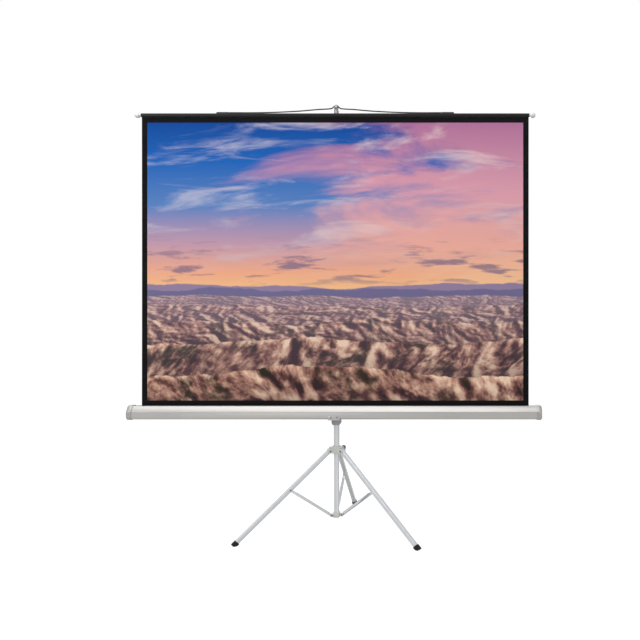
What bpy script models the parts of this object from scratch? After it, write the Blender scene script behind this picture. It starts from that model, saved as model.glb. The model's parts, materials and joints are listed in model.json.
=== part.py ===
"""Portable projection screen on a folding tripod stand, as separate parts.

Metres, +Z up, the picture side faces -Y. The mast axis is vertical, and the floor is at z = 0.
"""

import math

import bmesh
import bpy
from mathutils import Matrix, Vector

# Clearances
GAP = 0.0003  # between parts that touch
RUN = 0.0005  # between parts that slide or turn on each other
OVERRUN = 0.004  # how far a cutter runs past the wall that it cuts

# Facets
FINE_SIDES = 32  # round parts that show
PLAIN_SIDES = 20
SMALL_SIDES = 16  # pins, screws and their holes
EAR_STEPS = 6  # the half circle at the end of an ear or lug
STRIP_STEPS = 8  # the half circle at the end of a brace

# Tripod
LEG_COUNT = 3
LEG_NAMES = ("back", "left", "right")
BACK_LEG_TURN = math.radians(3.5)  # azimuth of the back leg, from +Y towards +X
FOOT_RADIUS = 0.538  # mast axis to the middle of a foot, on the floor
LEG_SIZE = 0.022
LEG_WALL = 0.0015
LEG_PIVOT_RADIUS = 0.040
LEG_PIVOT_Z = 0.442
LEG_TOP_OVERHANG = 0.010
LEG_END_HEIGHT = 0.012  # height of the leg's axis above the floor where the tube ends
BRACE_SHARE = 0.436  # where the brace meets the leg, as a share of its length
BRACE_WIDTH = 0.014
BRACE_THICK = 0.0025
BRACE_PIVOT_RADIUS = 0.032
BRACE_PIVOT_Z = 0.092
PIN_RADIUS = 0.003
PIN_HEAD_RADIUS = 0.0055
PIN_HEAD_THICK = 0.002
PIN_HEAD_CROWN = 0.6  # flat top of a head, as a share of its radius
PIN_HEAD_RIM = 0.4  # upright rim of a head, as a share of its thickness

# Hub and lower collar
HUB_HEIGHT = 0.038
HUB_SLEEVE_RADIUS = 0.0235
HUB_EAR_THICK = 0.0042
HUB_EAR_RADIUS = 0.0125
HUB_EDGE = 0.002
HUB_STEP = 0.004  # the ears stop this far below the sleeve's top
HUB_ROOT_RADIUS = 0.014  # where the ears start, inside the sleeve
COLLAR_HEIGHT = 0.030
COLLAR_WALL = 0.0035
COLLAR_LUG_THICK = 0.005
COLLAR_LUG_RADIUS = 0.0095

# Feet
FOOT_WALL = 0.003
FOOT_SOCKET = 0.016
FOOT_TOE = 0.018
FOOT_ROUND = 0.004

# Mast
OUTER_SIZE = 0.030
OUTER_DROP = 0.023  # from the leg pivots down to the mast tube's end
TUBE_WALL = 0.0015
TUBE_CORNER = 0.005
ROD_CORNER = 0.003
ROD_BORE_CORNER = 0.002
OUTER_TOP_Z = 1.300
LOWER_TOP_Z = 0.720
LOWER_CAP_THICK = 0.004
ROD_SIZE = 0.018
ROD_OVERLAP = 0.130  # how far the rod still reaches into the mast
ROD_BUSH_HEIGHT = 0.030
TOP_COLLAR_HEIGHT = 0.046
TOP_COLLAR_WALL = 0.005

# Lock knobs
KNOB_RADIUS = 0.0135
KNOB_LENGTH = 0.017
KNOB_LOBES = 6
KNOB_LOBE_DEPTH = 0.0016
KNOB_STAND_OFF = 0.009
KNOB_STUD_RADIUS = 0.004
KNOB_NECK_RADIUS = 0.008
KNOB_NECK_LENGTH = 0.0045
KNOB_NECK_STEP = 0.0005
KNOB_EDGE = 0.0025
KNOB_LOBE_SIDES = 6  # facets round each lobe

# Case and its carrier
CASE_CENTRE_Z = 0.658
CASE_OVERHANG = 0.056  # from the cloth's edge to the housing's end
CASE_WALL = 0.0018
CASE_BACK_Y = -0.0290
CASE_DEPTH = 0.066
CASE_HEIGHT = 0.070
CASE_LOW_CHAMFER = (0.009, 0.010)  # depth and height, lower front edge
CASE_HIGH_CHAMFER = (0.022, 0.028)  # the bright slope above the front
CASE_BACK_LOW_CHAMFER = 0.004
CASE_BACK_HIGH_CHAMFER = (0.006, 0.005)
CASE_EDGE = 0.0022
SLOT_WIDTH = 0.007
CAP_LIP = 0.0030
CAP_OVERLAP = 0.018
CAP_END = 0.010
CAP_ROUND = 0.005
CAP_BOSS_REACH = 0.012  # how far the roller's bearing reaches in
SLEEVE_WIDTH = 0.050
SLEEVE_DEPTH = 0.044
SLEEVE_BOTTOM_Z = 0.583
SLEEVE_TOP_Z = 0.700
SLEEVE_FOOT_WIDTH = 0.037
SLEEVE_FOOT_HEIGHT = 0.010
SLEEVE_EDGE = 0.004
PAD_RIM = 0.006  # round pad that the swivel turns on
SADDLE_THICK = 0.003
SADDLE_WIDTH = 0.062
SADDLE_LIP = 0.020
SADDLE_BACK_DROP = 0.012
SWIVEL_RADIUS = 0.012
SWIVEL_DEPTH = 0.005
SCREW_RADIUS = 0.0042
SCREW_THICK = 0.0022
SCREW_SPACING = 0.032
SCREW_CROWN = 0.7  # flat top of the head, as a share of its radius
SCREW_LIFT = 0.012  # from the saddle's underside to the screws

# Roller
ROLLER_RADIUS = 0.0195
ROLLER_WALL = 0.0016
ROLLER_INSET = 0.041  # from the housing's end to the roller's
ROLLER_DROP = 0.004
ROLLER_FORWARD = 0.006
PLUG_DEPTH = 0.030
PLUG_FLANGE = 0.003
GUDGEON_RADIUS = 0.004
CAP_BOSS_RADIUS = 0.010
SPRING_WIRE = 0.0009
SPRING_TURNS = 16
SPRING_PITCH = 0.009
SPRING_POINTS = 12  # points on each turn
SPRING_START = 0.020  # from the plug to the first turn
DOWEL_RADIUS = 0.007
DOWEL_MARGIN = 0.010  # how far the dowel runs past the last turn

# Screen
PICTURE_WIDTH = 2.030
PICTURE_HEIGHT = 1.500
BORDER = 0.030
BLACK_DROP = 0.0667  # cloth between the roller's axis and the picture
CLOTH_THICK = 0.0008
FACE_THICK = 0.0003
TOP_BAR_HEIGHT = 0.020
TOP_BAR_DEPTH = 0.015
TOP_BAR_ROUND = 0.006
TOP_BAR_WALL = 0.0016
TOP_BAR_OVERHANG = 0.003
BAR_END_RADIUS = 0.014
BAR_END_LENGTH = 0.032
BAR_END_NECK_RADIUS = 0.0077
BAR_END_NECK = 0.008
BAR_END_EDGE = 0.0022
BAR_END_DOME = 0.0064
BAR_END_CROWN = 0.0105
BAR_SPIGOT = 0.020

# Hanger
CLIP_LENGTH = 0.070
CLIP_REACH = 0.571  # mast axis to the inner end of a clip
CLIP_HEIGHT = 0.007
CLIP_DEPTH = 0.010
CLIP_EDGE = 0.0028
CORD_LEVEL_SHARE = 0.94  # where the cord lies level, as a share of the reach
CORD_RADIUS = 0.0025
HOOK_WIDTH = 0.025
HOOK_TOP_WIDTH = 0.017
HOOK_HEIGHT = 0.033  # from the rod's top to the hook's
HOOK_CAP_WALL = 0.0035
HOOK_PRONG_WIDTH = 0.014
HOOK_NOTCH = 0.008
HOOK_LIP = 0.004
HOOK_FLOOR = 0.0195  # from the rod's top to the notch's floor
HOOK_LIP_RISE = 0.011  # from the notch's floor to the lip's top
HOOK_SKIRT = 0.020  # from the rod's top down to the cap's rim
HOOK_EDGE = 0.0025
HOOK_ROOT = 0.014  # depth of the prong where it leaves the cap
HOOK_KNEE = 0.009
HOOK_TIP = 0.004
HOOK_LIP_SLOPE = 0.001
HOOK_LIFT = 0.025  # from the top bar up to the rod's top

# Derived places
OUTER_BOTTOM_Z = LEG_PIVOT_Z - OUTER_DROP
OUTER_BORE = OUTER_SIZE - 2 * TUBE_WALL
LOWER_SIZE = OUTER_BORE - 2 * GAP
LOWER_BORE = LOWER_SIZE - 2 * TUBE_WALL
LEG_RUN = Vector((FOOT_RADIUS - LEG_PIVOT_RADIUS, LEG_END_HEIGHT - LEG_PIVOT_Z))
LEG_LENGTH = LEG_RUN.length
LEG_ANGLE = math.atan2(LEG_RUN.x, -LEG_RUN.y)  # from the vertical
BRACE_TOP = Vector((LEG_PIVOT_RADIUS, LEG_PIVOT_Z)) + BRACE_SHARE * LEG_RUN
BRACE_RUN = BRACE_TOP - Vector((BRACE_PIVOT_RADIUS, BRACE_PIVOT_Z))
BRACE_LENGTH = BRACE_RUN.length
BRACE_ANGLE = math.atan2(BRACE_RUN.x, BRACE_RUN.y)  # from the vertical
LEG_SWEEP = math.hypot(LEG_TOP_OVERHANG, LEG_SIZE / 2)  # what the leg's end needs as it turns
BRACE_OFFSET = LEG_SIZE / 2 + GAP + BRACE_THICK / 2
CASE_CENTRE_Y = CASE_BACK_Y - CASE_DEPTH / 2
CLOTH_WIDTH = PICTURE_WIDTH + 2 * BORDER
CASE_LENGTH = CLOTH_WIDTH + 2 * CASE_OVERHANG
ROLLER_LENGTH = CASE_LENGTH - 2 * ROLLER_INSET
ROLLER_Y = CASE_CENTRE_Y - ROLLER_FORWARD
ROLLER_Z = CASE_CENTRE_Z - ROLLER_DROP
CLOTH_Y = ROLLER_Y + ROLLER_RADIUS + GAP + CLOTH_THICK / 2
CLOTH_BOTTOM_Z = ROLLER_Z
PICTURE_BOTTOM_Z = CLOTH_BOTTOM_Z + BLACK_DROP
PICTURE_TOP_Z = PICTURE_BOTTOM_Z + PICTURE_HEIGHT
CLOTH_TOP_Z = PICTURE_TOP_Z + BORDER
TOP_BAR_CENTRE_Z = CLOTH_TOP_Z + GAP + TOP_BAR_HEIGHT / 2
TOP_BAR_TOP_Z = TOP_BAR_CENTRE_Z + TOP_BAR_HEIGHT / 2
ROD_TOP_Z = TOP_BAR_TOP_Z + HOOK_LIFT
ROD_BOTTOM_Z = OUTER_TOP_Z - ROD_OVERLAP
HOOK_TOP_Z = ROD_TOP_Z + HOOK_HEIGHT
HOOK_FLOOR_Z = ROD_TOP_Z + HOOK_FLOOR
HOOK_LIP_TOP_Z = HOOK_FLOOR_Z + HOOK_LIP_RISE
TOP_BAR_LENGTH = CLOTH_WIDTH + 2 * TOP_BAR_OVERHANG
SPIGOT_RADIUS = TOP_BAR_DEPTH / 2 - TOP_BAR_WALL - GAP
HOOK_CAP_HALF = ROD_SIZE / 2 + GAP + HOOK_CAP_WALL
SPRING_RADIUS = (DOWEL_RADIUS + GAP + SPRING_WIRE) / math.cos(math.pi / SPRING_POINTS)
CORD_Z = HOOK_FLOOR_Z + GAP + CORD_RADIUS
CORD_APEX_Y = -(HOOK_CAP_HALF + HOOK_NOTCH / 2)
CORD_END_Z = TOP_BAR_TOP_Z + GAP + CLIP_HEIGHT / 2

X_AXIS, Y_AXIS, Z_AXIS = Vector((1, 0, 0)), Vector((0, 1, 0)), Vector((0, 0, 1))


def make_material(name, colour, metallic, roughness):
    material = bpy.data.materials.new(name)
    material.use_nodes = True
    shader = material.node_tree.nodes["Principled BSDF"]
    shader.inputs["Base Color"].default_value = (*colour, 1.0)
    shader.inputs["Metallic"].default_value = metallic
    shader.inputs["Roughness"].default_value = roughness
    material.diffuse_color = (*colour, 1.0)
    return material


def rounded_outline(points, radius, segments=3):
    """The polygon with each corner turned into an arc of the given radius."""
    outline = []
    count = len(points)
    for i, corner in enumerate(points):
        corner = Vector(corner)
        before = (Vector(points[i - 1]) - corner).normalized()
        after = (Vector(points[(i + 1) % count]) - corner).normalized()
        half = before.angle(after) / 2
        centre = corner + (before + after).normalized() * radius / math.sin(half)
        start = corner + before * radius / math.tan(half) - centre
        end = corner + after * radius / math.tan(half) - centre
        sweep = start.angle_signed(end)
        for step in range(segments + 1):
            turn = Matrix.Rotation(-sweep * step / segments, 2)
            outline.append(tuple(centre + turn @ start))
    return outline


def rounded_rectangle(width, depth, radius, centre=(0, 0), segments=3):
    x, y = width / 2, depth / 2
    corners = ((-x, -y), (x, -y), (x, y), (-x, y))
    return rounded_outline([(centre[0] + a, centre[1] + b) for a, b in corners], radius, segments)


def circle_outline(radius, sides, centre=(0, 0)):
    turns = [2 * math.pi * i / sides for i in range(sides)]
    return [(centre[0] + radius * math.cos(t), centre[1] + radius * math.sin(t)) for t in turns]


def grown_outline(outline, distance):
    """The outline moved outwards by a distance, or inwards by a negative one."""
    grown = []
    count = len(outline)
    for i in range(count):
        here = Vector(outline[i])
        before = (here - Vector(outline[i - 1])).normalized()
        after = (Vector(outline[(i + 1) % count]) - here).normalized()
        normals = Vector((before.y, -before.x)), Vector((after.y, -after.x))
        middle = (normals[0] + normals[1]).normalized()
        grown.append(tuple(here + middle * distance / middle.dot(normals[0])))
    return grown


def prism(outline, low, high):
    """A solid with the outline in X and Y, from low to high along Z."""
    mesh = bmesh.new()
    rings = [[mesh.verts.new((x, y, z)) for x, y in outline] for z in (low, high)]
    mesh.faces.new(reversed(rings[0]))
    mesh.faces.new(rings[1])
    count = len(outline)
    for i in range(count):
        j = (i + 1) % count
        mesh.faces.new((rings[0][i], rings[0][j], rings[1][j], rings[1][i]))
    return mesh


def pipe(outer, inner, low, high):
    """A prism with a bore: both outlines have the same number of points."""
    mesh = bmesh.new()
    count = len(outer)

    def ring(outline, z):
        return [mesh.verts.new((x, y, z)) for x, y in outline]

    outer_low, outer_high = ring(outer, low), ring(outer, high)
    inner_low, inner_high = ring(inner, low), ring(inner, high)
    for i in range(count):
        j = (i + 1) % count
        mesh.faces.new((outer_low[i], outer_low[j], outer_high[j], outer_high[i]))
        mesh.faces.new((inner_low[j], inner_low[i], inner_high[i], inner_high[j]))
        mesh.faces.new((outer_low[j], outer_low[i], inner_low[i], inner_low[j]))
        mesh.faces.new((outer_high[i], outer_high[j], inner_high[j], inner_high[i]))
    return mesh


def turned(profile, sides=SMALL_SIDES):
    """A solid of revolution about Z. The profile is (radius, z) from the bottom to the top."""
    mesh = bmesh.new()
    rings = []
    for radius, z in profile:
        circle = circle_outline(radius, sides)
        rings.append([mesh.verts.new((x, y, z)) for x, y in circle])
    for lower, upper in zip(rings, rings[1:]):
        for i in range(sides):
            j = (i + 1) % sides
            mesh.faces.new((lower[i], lower[j], upper[j], upper[i]))
    mesh.faces.new(reversed(rings[0]))
    mesh.faces.new(rings[-1])
    return mesh


def along(direction, origin=(0, 0, 0), up=Z_AXIS):
    """The matrix that carries local Z to a direction and local Y towards up."""
    z = Vector(direction).normalized()
    y = (Vector(up) - z * z.dot(Vector(up))).normalized()
    x = y.cross(z)
    turn = Matrix((x, y, z)).transposed().to_4x4()
    return Matrix.Translation(origin) @ turn


def moved(mesh, matrix):
    bmesh.ops.transform(mesh, matrix=matrix, verts=mesh.verts)
    return mesh


def box(low, high):
    size = Vector(high) - Vector(low)
    centre = (Vector(high) + Vector(low)) / 2
    mesh = bmesh.new()
    bmesh.ops.create_cube(mesh, size=1.0)
    bmesh.ops.scale(mesh, vec=size, verts=mesh.verts)
    bmesh.ops.translate(mesh, vec=centre, verts=mesh.verts)
    return mesh


def empty(name, location=(0, 0, 0), rotation=None, parent=None):
    pivot = bpy.data.objects.new(name, None)
    pivot.empty_display_size = 0.03
    pivot.parent = parent
    pivot.matrix_local = Matrix.Translation(location) @ (rotation or Matrix.Identity(4))
    bpy.context.collection.objects.link(pivot)
    return pivot


def part(name, mesh, material, parent, sharp=35):
    """One visible part in its parent's frame."""
    bmesh.ops.recalc_face_normals(mesh, faces=mesh.faces)
    data = bpy.data.meshes.new(name)
    mesh.to_mesh(data)
    mesh.free()
    data.materials.append(material)
    data.shade_smooth()
    data.set_sharp_from_angle(angle=math.radians(sharp))
    thing = bpy.data.objects.new(name, data)
    thing.parent = parent
    bpy.context.collection.objects.link(thing)
    return thing


def combine(thing, mesh, operation):
    """Cuts the mesh from a part, or joins it on, with a hidden helper in the part's own frame."""
    bmesh.ops.recalc_face_normals(mesh, faces=mesh.faces)
    name = f"{thing.name}_helper_{len(thing.modifiers)}"
    data = bpy.data.meshes.new(name)
    mesh.to_mesh(data)
    mesh.free()
    helper = bpy.data.objects.new(name, data)
    helper.parent = thing.parent
    helper.hide_render = True
    helper.display_type = "WIRE"
    bpy.context.collection.objects.link(helper)
    modifier = thing.modifiers.new(operation.lower(), "BOOLEAN")
    modifier.operation = operation
    modifier.solver = "EXACT"
    modifier.object = helper
    return thing


def cut(thing, mesh):
    return combine(thing, mesh, "DIFFERENCE")


def weld(thing, mesh):
    return combine(thing, mesh, "UNION")


def square_tube(size, wall, low, high):
    inner = max(TUBE_CORNER - wall, wall)
    outer_outline = rounded_rectangle(size, size, TUBE_CORNER)
    bore_outline = rounded_rectangle(size - 2 * wall, size - 2 * wall, inner)
    return pipe(outer_outline, bore_outline, low, high)


def knob_mesh():
    """A lobed hand knob along +Z: stud, neck and grip, with its foot at z = 0."""
    sides = KNOB_LOBES * KNOB_LOBE_SIDES
    mesh = bmesh.new()
    grip_low = KNOB_STAND_OFF
    grip_high = KNOB_STAND_OFF + KNOB_LENGTH
    levels = (
        (KNOB_STUD_RADIUS, 0, 0.0),
        (KNOB_STUD_RADIUS, 0, grip_low - KNOB_NECK_LENGTH - KNOB_NECK_STEP),
        (KNOB_NECK_RADIUS, 0, grip_low - KNOB_NECK_LENGTH),
        (KNOB_NECK_RADIUS, 0, grip_low),
        (KNOB_RADIUS - KNOB_EDGE / 2, 1 / 2, grip_low + KNOB_EDGE / 3),
        (KNOB_RADIUS, 1, grip_low + KNOB_EDGE),
        (KNOB_RADIUS, 1, grip_high - KNOB_EDGE),
        (KNOB_RADIUS - KNOB_EDGE, 1 / 2, grip_high),
    )
    rings = []
    for radius, share, z in levels:
        ring = []
        for i in range(sides):
            turn = 2 * math.pi * i / sides
            reach = radius + share * KNOB_LOBE_DEPTH * (math.cos(KNOB_LOBES * turn) - 1) / 2
            ring.append(mesh.verts.new((reach * math.cos(turn), reach * math.sin(turn), z)))
        rings.append(ring)
    for lower, upper in zip(rings, rings[1:]):
        for i in range(sides):
            j = (i + 1) % sides
            mesh.faces.new((lower[i], lower[j], upper[j], upper[i]))
    mesh.faces.new(reversed(rings[0]))
    mesh.faces.new(rings[-1])
    return mesh


def head_profile(seat, side=1):
    """The turned profile of a pin's low head, outwards from its seat."""
    return (
        (PIN_HEAD_RADIUS, seat),
        (PIN_HEAD_RADIUS, seat + side * PIN_HEAD_THICK * PIN_HEAD_RIM),
        (PIN_HEAD_RADIUS * PIN_HEAD_CROWN, seat + side * PIN_HEAD_THICK),
    )


def pin_mesh(low, high):
    """A pin along Y, with a head beyond each end."""
    shank = ((PIN_RADIUS, low), (PIN_RADIUS, high))
    profile = (*reversed(head_profile(low, -1)), *shank, *head_profile(high))
    return moved(turned(profile), along(Y_AXIS))


def pin_hole(low, high):
    """The hole for a pin, as a cutter along Y."""
    return moved(prism(circle_outline(PIN_RADIUS + GAP, SMALL_SIDES), low, high), along(Y_AXIS))


def ear_outline(start, pivot, radius):
    """The profile of an ear or lug, in X and Z: level sides and a half round end at its pivot."""
    outline = [(start, pivot[1] - radius)]
    for i in range(EAR_STEPS + 1):
        sweep = -math.pi / 2 + math.pi * i / EAR_STEPS
        outline.append((pivot[0] + radius * math.cos(sweep), pivot[1] + radius * math.sin(sweep)))
    return outline


def leg_directions():
    """Each leg's name with the rotation that carries +X outwards along it."""
    for i, name in enumerate(LEG_NAMES[:LEG_COUNT]):
        azimuth = BACK_LEG_TURN - 2 * math.pi * i / LEG_COUNT
        yield name, Matrix.Rotation(math.pi / 2 - azimuth, 4, "Z")


def build_hub(root, materials):
    """The casting that carries the legs: a sleeve with a flange and a pair of ears for each leg."""
    low, high = LEG_PIVOT_Z - HUB_EAR_RADIUS, LEG_PIVOT_Z - HUB_EAR_RADIUS + HUB_HEIGHT
    sleeve = turned(
        (
            (HUB_SLEEVE_RADIUS - HUB_EDGE / 2, low),
            (HUB_SLEEVE_RADIUS, low + HUB_EDGE / 2),
            (HUB_SLEEVE_RADIUS, high - HUB_EDGE),
            (HUB_SLEEVE_RADIUS - HUB_EDGE, high),
        ),
        FINE_SIDES,
    )
    hub = part("leg_hub", sleeve, materials["casting"], root)
    pivot = (LEG_PIVOT_RADIUS, LEG_PIVOT_Z)
    for _, turn in leg_directions():
        for side in (-1, 1):
            outline = ear_outline(HUB_ROOT_RADIUS, pivot, HUB_EAR_RADIUS)
            outline.append((HUB_ROOT_RADIUS, high - HUB_STEP))
            face = LEG_SIZE / 2 + RUN
            near, far = sorted((-side * face, -side * (face + HUB_EAR_THICK)))
            ear = moved(prism(outline, near, far), along(-Y_AXIS))
            weld(hub, moved(ear, turn))
        bridge = box(
            (HUB_ROOT_RADIUS, -LEG_SIZE / 2 - HUB_EAR_THICK, LEG_PIVOT_Z + LEG_SWEEP + RUN),
            (LEG_PIVOT_RADIUS, LEG_SIZE / 2 + HUB_EAR_THICK, high - HUB_STEP),
        )
        weld(hub, moved(bridge, turn))
    bore = rounded_rectangle(OUTER_SIZE + 2 * GAP, OUTER_SIZE + 2 * GAP, TUBE_CORNER)
    cut(hub, prism(bore, low - OVERRUN, high + OVERRUN))
    reach = LEG_SIZE / 2 + RUN + HUB_EAR_THICK + GAP
    place = Matrix.Translation((LEG_PIVOT_RADIUS, 0, LEG_PIVOT_Z))
    for name, turn in leg_directions():
        cut(hub, moved(pin_hole(-reach - OVERRUN, reach + OVERRUN), turn @ place))
        pin = moved(pin_mesh(-reach, reach), turn @ place)
        part(f"{name}_leg_pin", pin, materials["steel"], root)


def build_leg(name, turn, root, materials):
    """A square leg tube that hangs from its pin, with its rubber foot."""
    swing = Matrix.Rotation(-LEG_ANGLE, 4, "Y")
    place = turn @ Matrix.Translation((LEG_PIVOT_RADIUS, 0, LEG_PIVOT_Z))
    pivot = empty(f"{name}_leg_pivot", rotation=place @ swing, parent=root)
    corner = TUBE_CORNER * LEG_SIZE / OUTER_SIZE
    bore = LEG_SIZE - 2 * LEG_WALL
    outer_outline = rounded_rectangle(LEG_SIZE, LEG_SIZE, corner)
    bore_outline = rounded_rectangle(bore, bore, corner - LEG_WALL)
    tube = pipe(outer_outline, bore_outline, -LEG_LENGTH, LEG_TOP_OVERHANG)
    leg = part(f"{name}_leg", tube, materials["tube"], pivot)
    cut(leg, pin_hole(-LEG_SIZE, LEG_SIZE))

    outside = LEG_SIZE + 2 * GAP + 2 * FOOT_WALL
    boot = prism(
        rounded_rectangle(outside, outside, FOOT_ROUND, segments=4),
        -LEG_LENGTH - FOOT_TOE,
        -LEG_LENGTH + FOOT_SOCKET,
    )
    floor = (place @ swing).inverted()
    bmesh.ops.bisect_plane(
        boot,
        geom=boot.verts[:] + boot.edges[:] + boot.faces[:],
        plane_co=floor @ Vector((0, 0, 0)),
        plane_no=floor.to_3x3() @ Vector((0, 0, -1)),
        clear_outer=True,
    )
    bmesh.ops.holes_fill(boot, edges=[e for e in boot.edges if e.is_boundary])
    foot = part(f"{name}_foot", boot, materials["rubber"], pivot)
    socket = rounded_rectangle(LEG_SIZE + 2 * GAP, LEG_SIZE + 2 * GAP, corner)
    cut(foot, prism(socket, -LEG_LENGTH - GAP, -LEG_LENGTH + FOOT_SOCKET + OVERRUN))
    return pivot


def build_brace(name, turn, parent, materials):
    """A flat strip beside the leg, from the lower collar's lug to the leg's middle."""
    swing = Matrix.Rotation(BRACE_ANGLE, 4, "Y")
    place = turn @ Matrix.Translation((BRACE_PIVOT_RADIUS, 0, BRACE_PIVOT_Z))
    pivot = empty(f"{name}_brace_pivot", rotation=place @ swing, parent=parent)
    half = BRACE_WIDTH / 2
    outline = []
    for start, z in ((0, BRACE_LENGTH), (math.pi, 0)):
        for i in range(STRIP_STEPS + 1):
            sweep = start + math.pi * i / STRIP_STEPS
            outline.append((half * math.cos(sweep), z + half * math.sin(sweep)))
    strip = prism(outline, -BRACE_THICK / 2, BRACE_THICK / 2)
    strip = moved(strip, Matrix.Translation((0, BRACE_OFFSET, 0)) @ along(-Y_AXIS))
    brace = part(f"{name}_brace", strip, materials["strip"], pivot)
    far_end = Matrix.Translation((0, 0, BRACE_LENGTH))
    cut(brace, pin_hole(0, 2 * BRACE_OFFSET))
    cut(brace, moved(pin_hole(0, 2 * BRACE_OFFSET), far_end))
    low = BRACE_OFFSET - BRACE_THICK / 2
    high = BRACE_OFFSET + BRACE_THICK / 2 + GAP
    profile = ((PIN_RADIUS, low), (PIN_RADIUS, high), *head_profile(high))
    rivet = moved(turned(profile), far_end @ along(Y_AXIS))
    part(f"{name}_rivet", rivet, materials["steel"], pivot)


def build_lower_tube(root, materials):
    """The inner tube that slides out of the mast as the legs fold, with its collar and end cap."""
    slider = empty("lower_tube_slide", parent=root)
    low = BRACE_PIVOT_Z - COLLAR_HEIGHT / 2
    high = BRACE_PIVOT_Z + COLLAR_HEIGHT / 2
    tube = square_tube(LOWER_SIZE, TUBE_WALL, low + LOWER_CAP_THICK, LOWER_TOP_Z)
    part("lower_tube", tube, materials["tube"], slider)

    outside = LOWER_SIZE + 2 * GAP + 2 * COLLAR_WALL
    block = prism(rounded_rectangle(outside, outside, TUBE_CORNER + COLLAR_WALL), low, high)
    collar = part("lower_collar", block, materials["casting"], slider)
    lug_far = LEG_SIZE / 2
    for _, turn in leg_directions():
        pivot = (BRACE_PIVOT_RADIUS, BRACE_PIVOT_Z)
        outline = ear_outline(LOWER_SIZE / 4, pivot, COLLAR_LUG_RADIUS)
        outline.append((LOWER_SIZE / 4, BRACE_PIVOT_Z + COLLAR_LUG_RADIUS))
        lug = moved(prism(outline, -lug_far, -lug_far + COLLAR_LUG_THICK), along(-Y_AXIS))
        weld(collar, moved(lug, turn))
    bore = rounded_rectangle(LOWER_SIZE + 2 * GAP, LOWER_SIZE + 2 * GAP, TUBE_CORNER)
    cut(collar, prism(bore, low + LOWER_CAP_THICK - GAP, high + OVERRUN))
    drain = prism(circle_outline(PIN_RADIUS, SMALL_SIDES), low - OVERRUN, low + 2 * OVERRUN)
    cut(collar, drain)
    reach = BRACE_OFFSET + BRACE_THICK / 2 + GAP
    start = lug_far - COLLAR_LUG_THICK - GAP
    place = Matrix.Translation((BRACE_PIVOT_RADIUS, 0, BRACE_PIVOT_Z))
    for name, turn in leg_directions():
        cut(collar, moved(pin_hole(start - OVERRUN / 2, reach), turn @ place))
        pin = moved(pin_mesh(start, reach), turn @ place)
        part(f"{name}_brace_pin", pin, materials["steel"], slider)
    return slider


def build_mast(root, materials):
    """The outer tube with the guide collar on its top."""
    tube = square_tube(OUTER_SIZE, TUBE_WALL, OUTER_BOTTOM_Z, OUTER_TOP_Z)
    part("mast_tube", tube, materials["tube"], root)
    outside = OUTER_SIZE + 2 * GAP + 2 * TOP_COLLAR_WALL
    low = OUTER_TOP_Z - TOP_COLLAR_HEIGHT + TOP_COLLAR_WALL
    high = OUTER_TOP_Z + TOP_COLLAR_WALL
    block = prism(rounded_rectangle(outside, outside, TUBE_CORNER + TOP_COLLAR_WALL), low, high)
    collar = part("mast_top_collar", block, materials["grey_plastic"], root)
    socket = rounded_rectangle(OUTER_SIZE + 2 * GAP, OUTER_SIZE + 2 * GAP, TUBE_CORNER)
    cut(collar, prism(socket, low - OVERRUN, OUTER_TOP_Z + GAP))
    passage = rounded_rectangle(ROD_SIZE + 2 * RUN, ROD_SIZE + 2 * RUN, ROD_CORNER)
    cut(collar, prism(passage, low - OVERRUN, high + OVERRUN))


def build_knob(name, place, root, materials):
    """A hand knob with its foot at the seat, on its own axis."""
    pivot = empty(f"{name}_axis", rotation=place, parent=root)
    part(name, knob_mesh(), materials["grey_plastic"], pivot)


def build_rod(root, materials):
    """The extension rod, its guide bush and the hook that holds the hanger cord."""
    slider = empty("rod_slide", parent=root)
    outer_outline = rounded_rectangle(ROD_SIZE, ROD_SIZE, ROD_CORNER)
    bore = ROD_SIZE - 2 * TUBE_WALL
    bore_outline = rounded_rectangle(bore, bore, ROD_BORE_CORNER)
    part(
        "extension_rod",
        pipe(outer_outline, bore_outline, ROD_BOTTOM_Z, ROD_TOP_Z),
        materials["tube"],
        slider,
    )
    bush_size = LOWER_BORE - 2 * GAP
    bush_outer = rounded_rectangle(bush_size, bush_size, ROD_CORNER)
    socket = rounded_rectangle(ROD_SIZE + 2 * GAP, ROD_SIZE + 2 * GAP, ROD_CORNER)
    bush = pipe(bush_outer, socket, ROD_BOTTOM_Z, ROD_BOTTOM_Z + ROD_BUSH_HEIGHT)
    part("rod_bush", bush, materials["black_plastic"], slider)

    skirt_z = ROD_TOP_Z - HOOK_SKIRT
    outline = (
        (-HOOK_WIDTH / 2, skirt_z),
        (HOOK_WIDTH / 2, skirt_z),
        (HOOK_WIDTH / 2, ROD_TOP_Z),
        (HOOK_TOP_WIDTH / 2, HOOK_TOP_Z),
        (-HOOK_TOP_WIDTH / 2, HOOK_TOP_Z),
        (-HOOK_WIDTH / 2, ROD_TOP_Z),
    )
    cap = prism(rounded_outline(outline, HOOK_EDGE), -HOOK_CAP_HALF, HOOK_CAP_HALF)
    hook = part("rod_hook", moved(cap, along(-Y_AXIS)), materials["grey_plastic"], slider)
    face = -HOOK_CAP_HALF
    front = face - HOOK_NOTCH - HOOK_LIP
    prong = (
        (face + OVERRUN, HOOK_FLOOR_Z - HOOK_ROOT),
        (face + OVERRUN, HOOK_FLOOR_Z),
        (face - HOOK_NOTCH, HOOK_FLOOR_Z),
        (face - HOOK_NOTCH, HOOK_LIP_TOP_Z),
        (front, HOOK_LIP_TOP_Z - HOOK_LIP_SLOPE),
        (front, HOOK_FLOOR_Z - HOOK_TIP),
        (face - HOOK_NOTCH / 2, HOOK_FLOOR_Z - HOOK_KNEE),
    )
    half = HOOK_PRONG_WIDTH / 2
    prong = moved(prism(prong, -half, half), along(X_AXIS, up=Z_AXIS))
    weld(hook, prong)
    cut(hook, prism(socket, skirt_z - OVERRUN, ROD_TOP_Z + GAP))


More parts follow.
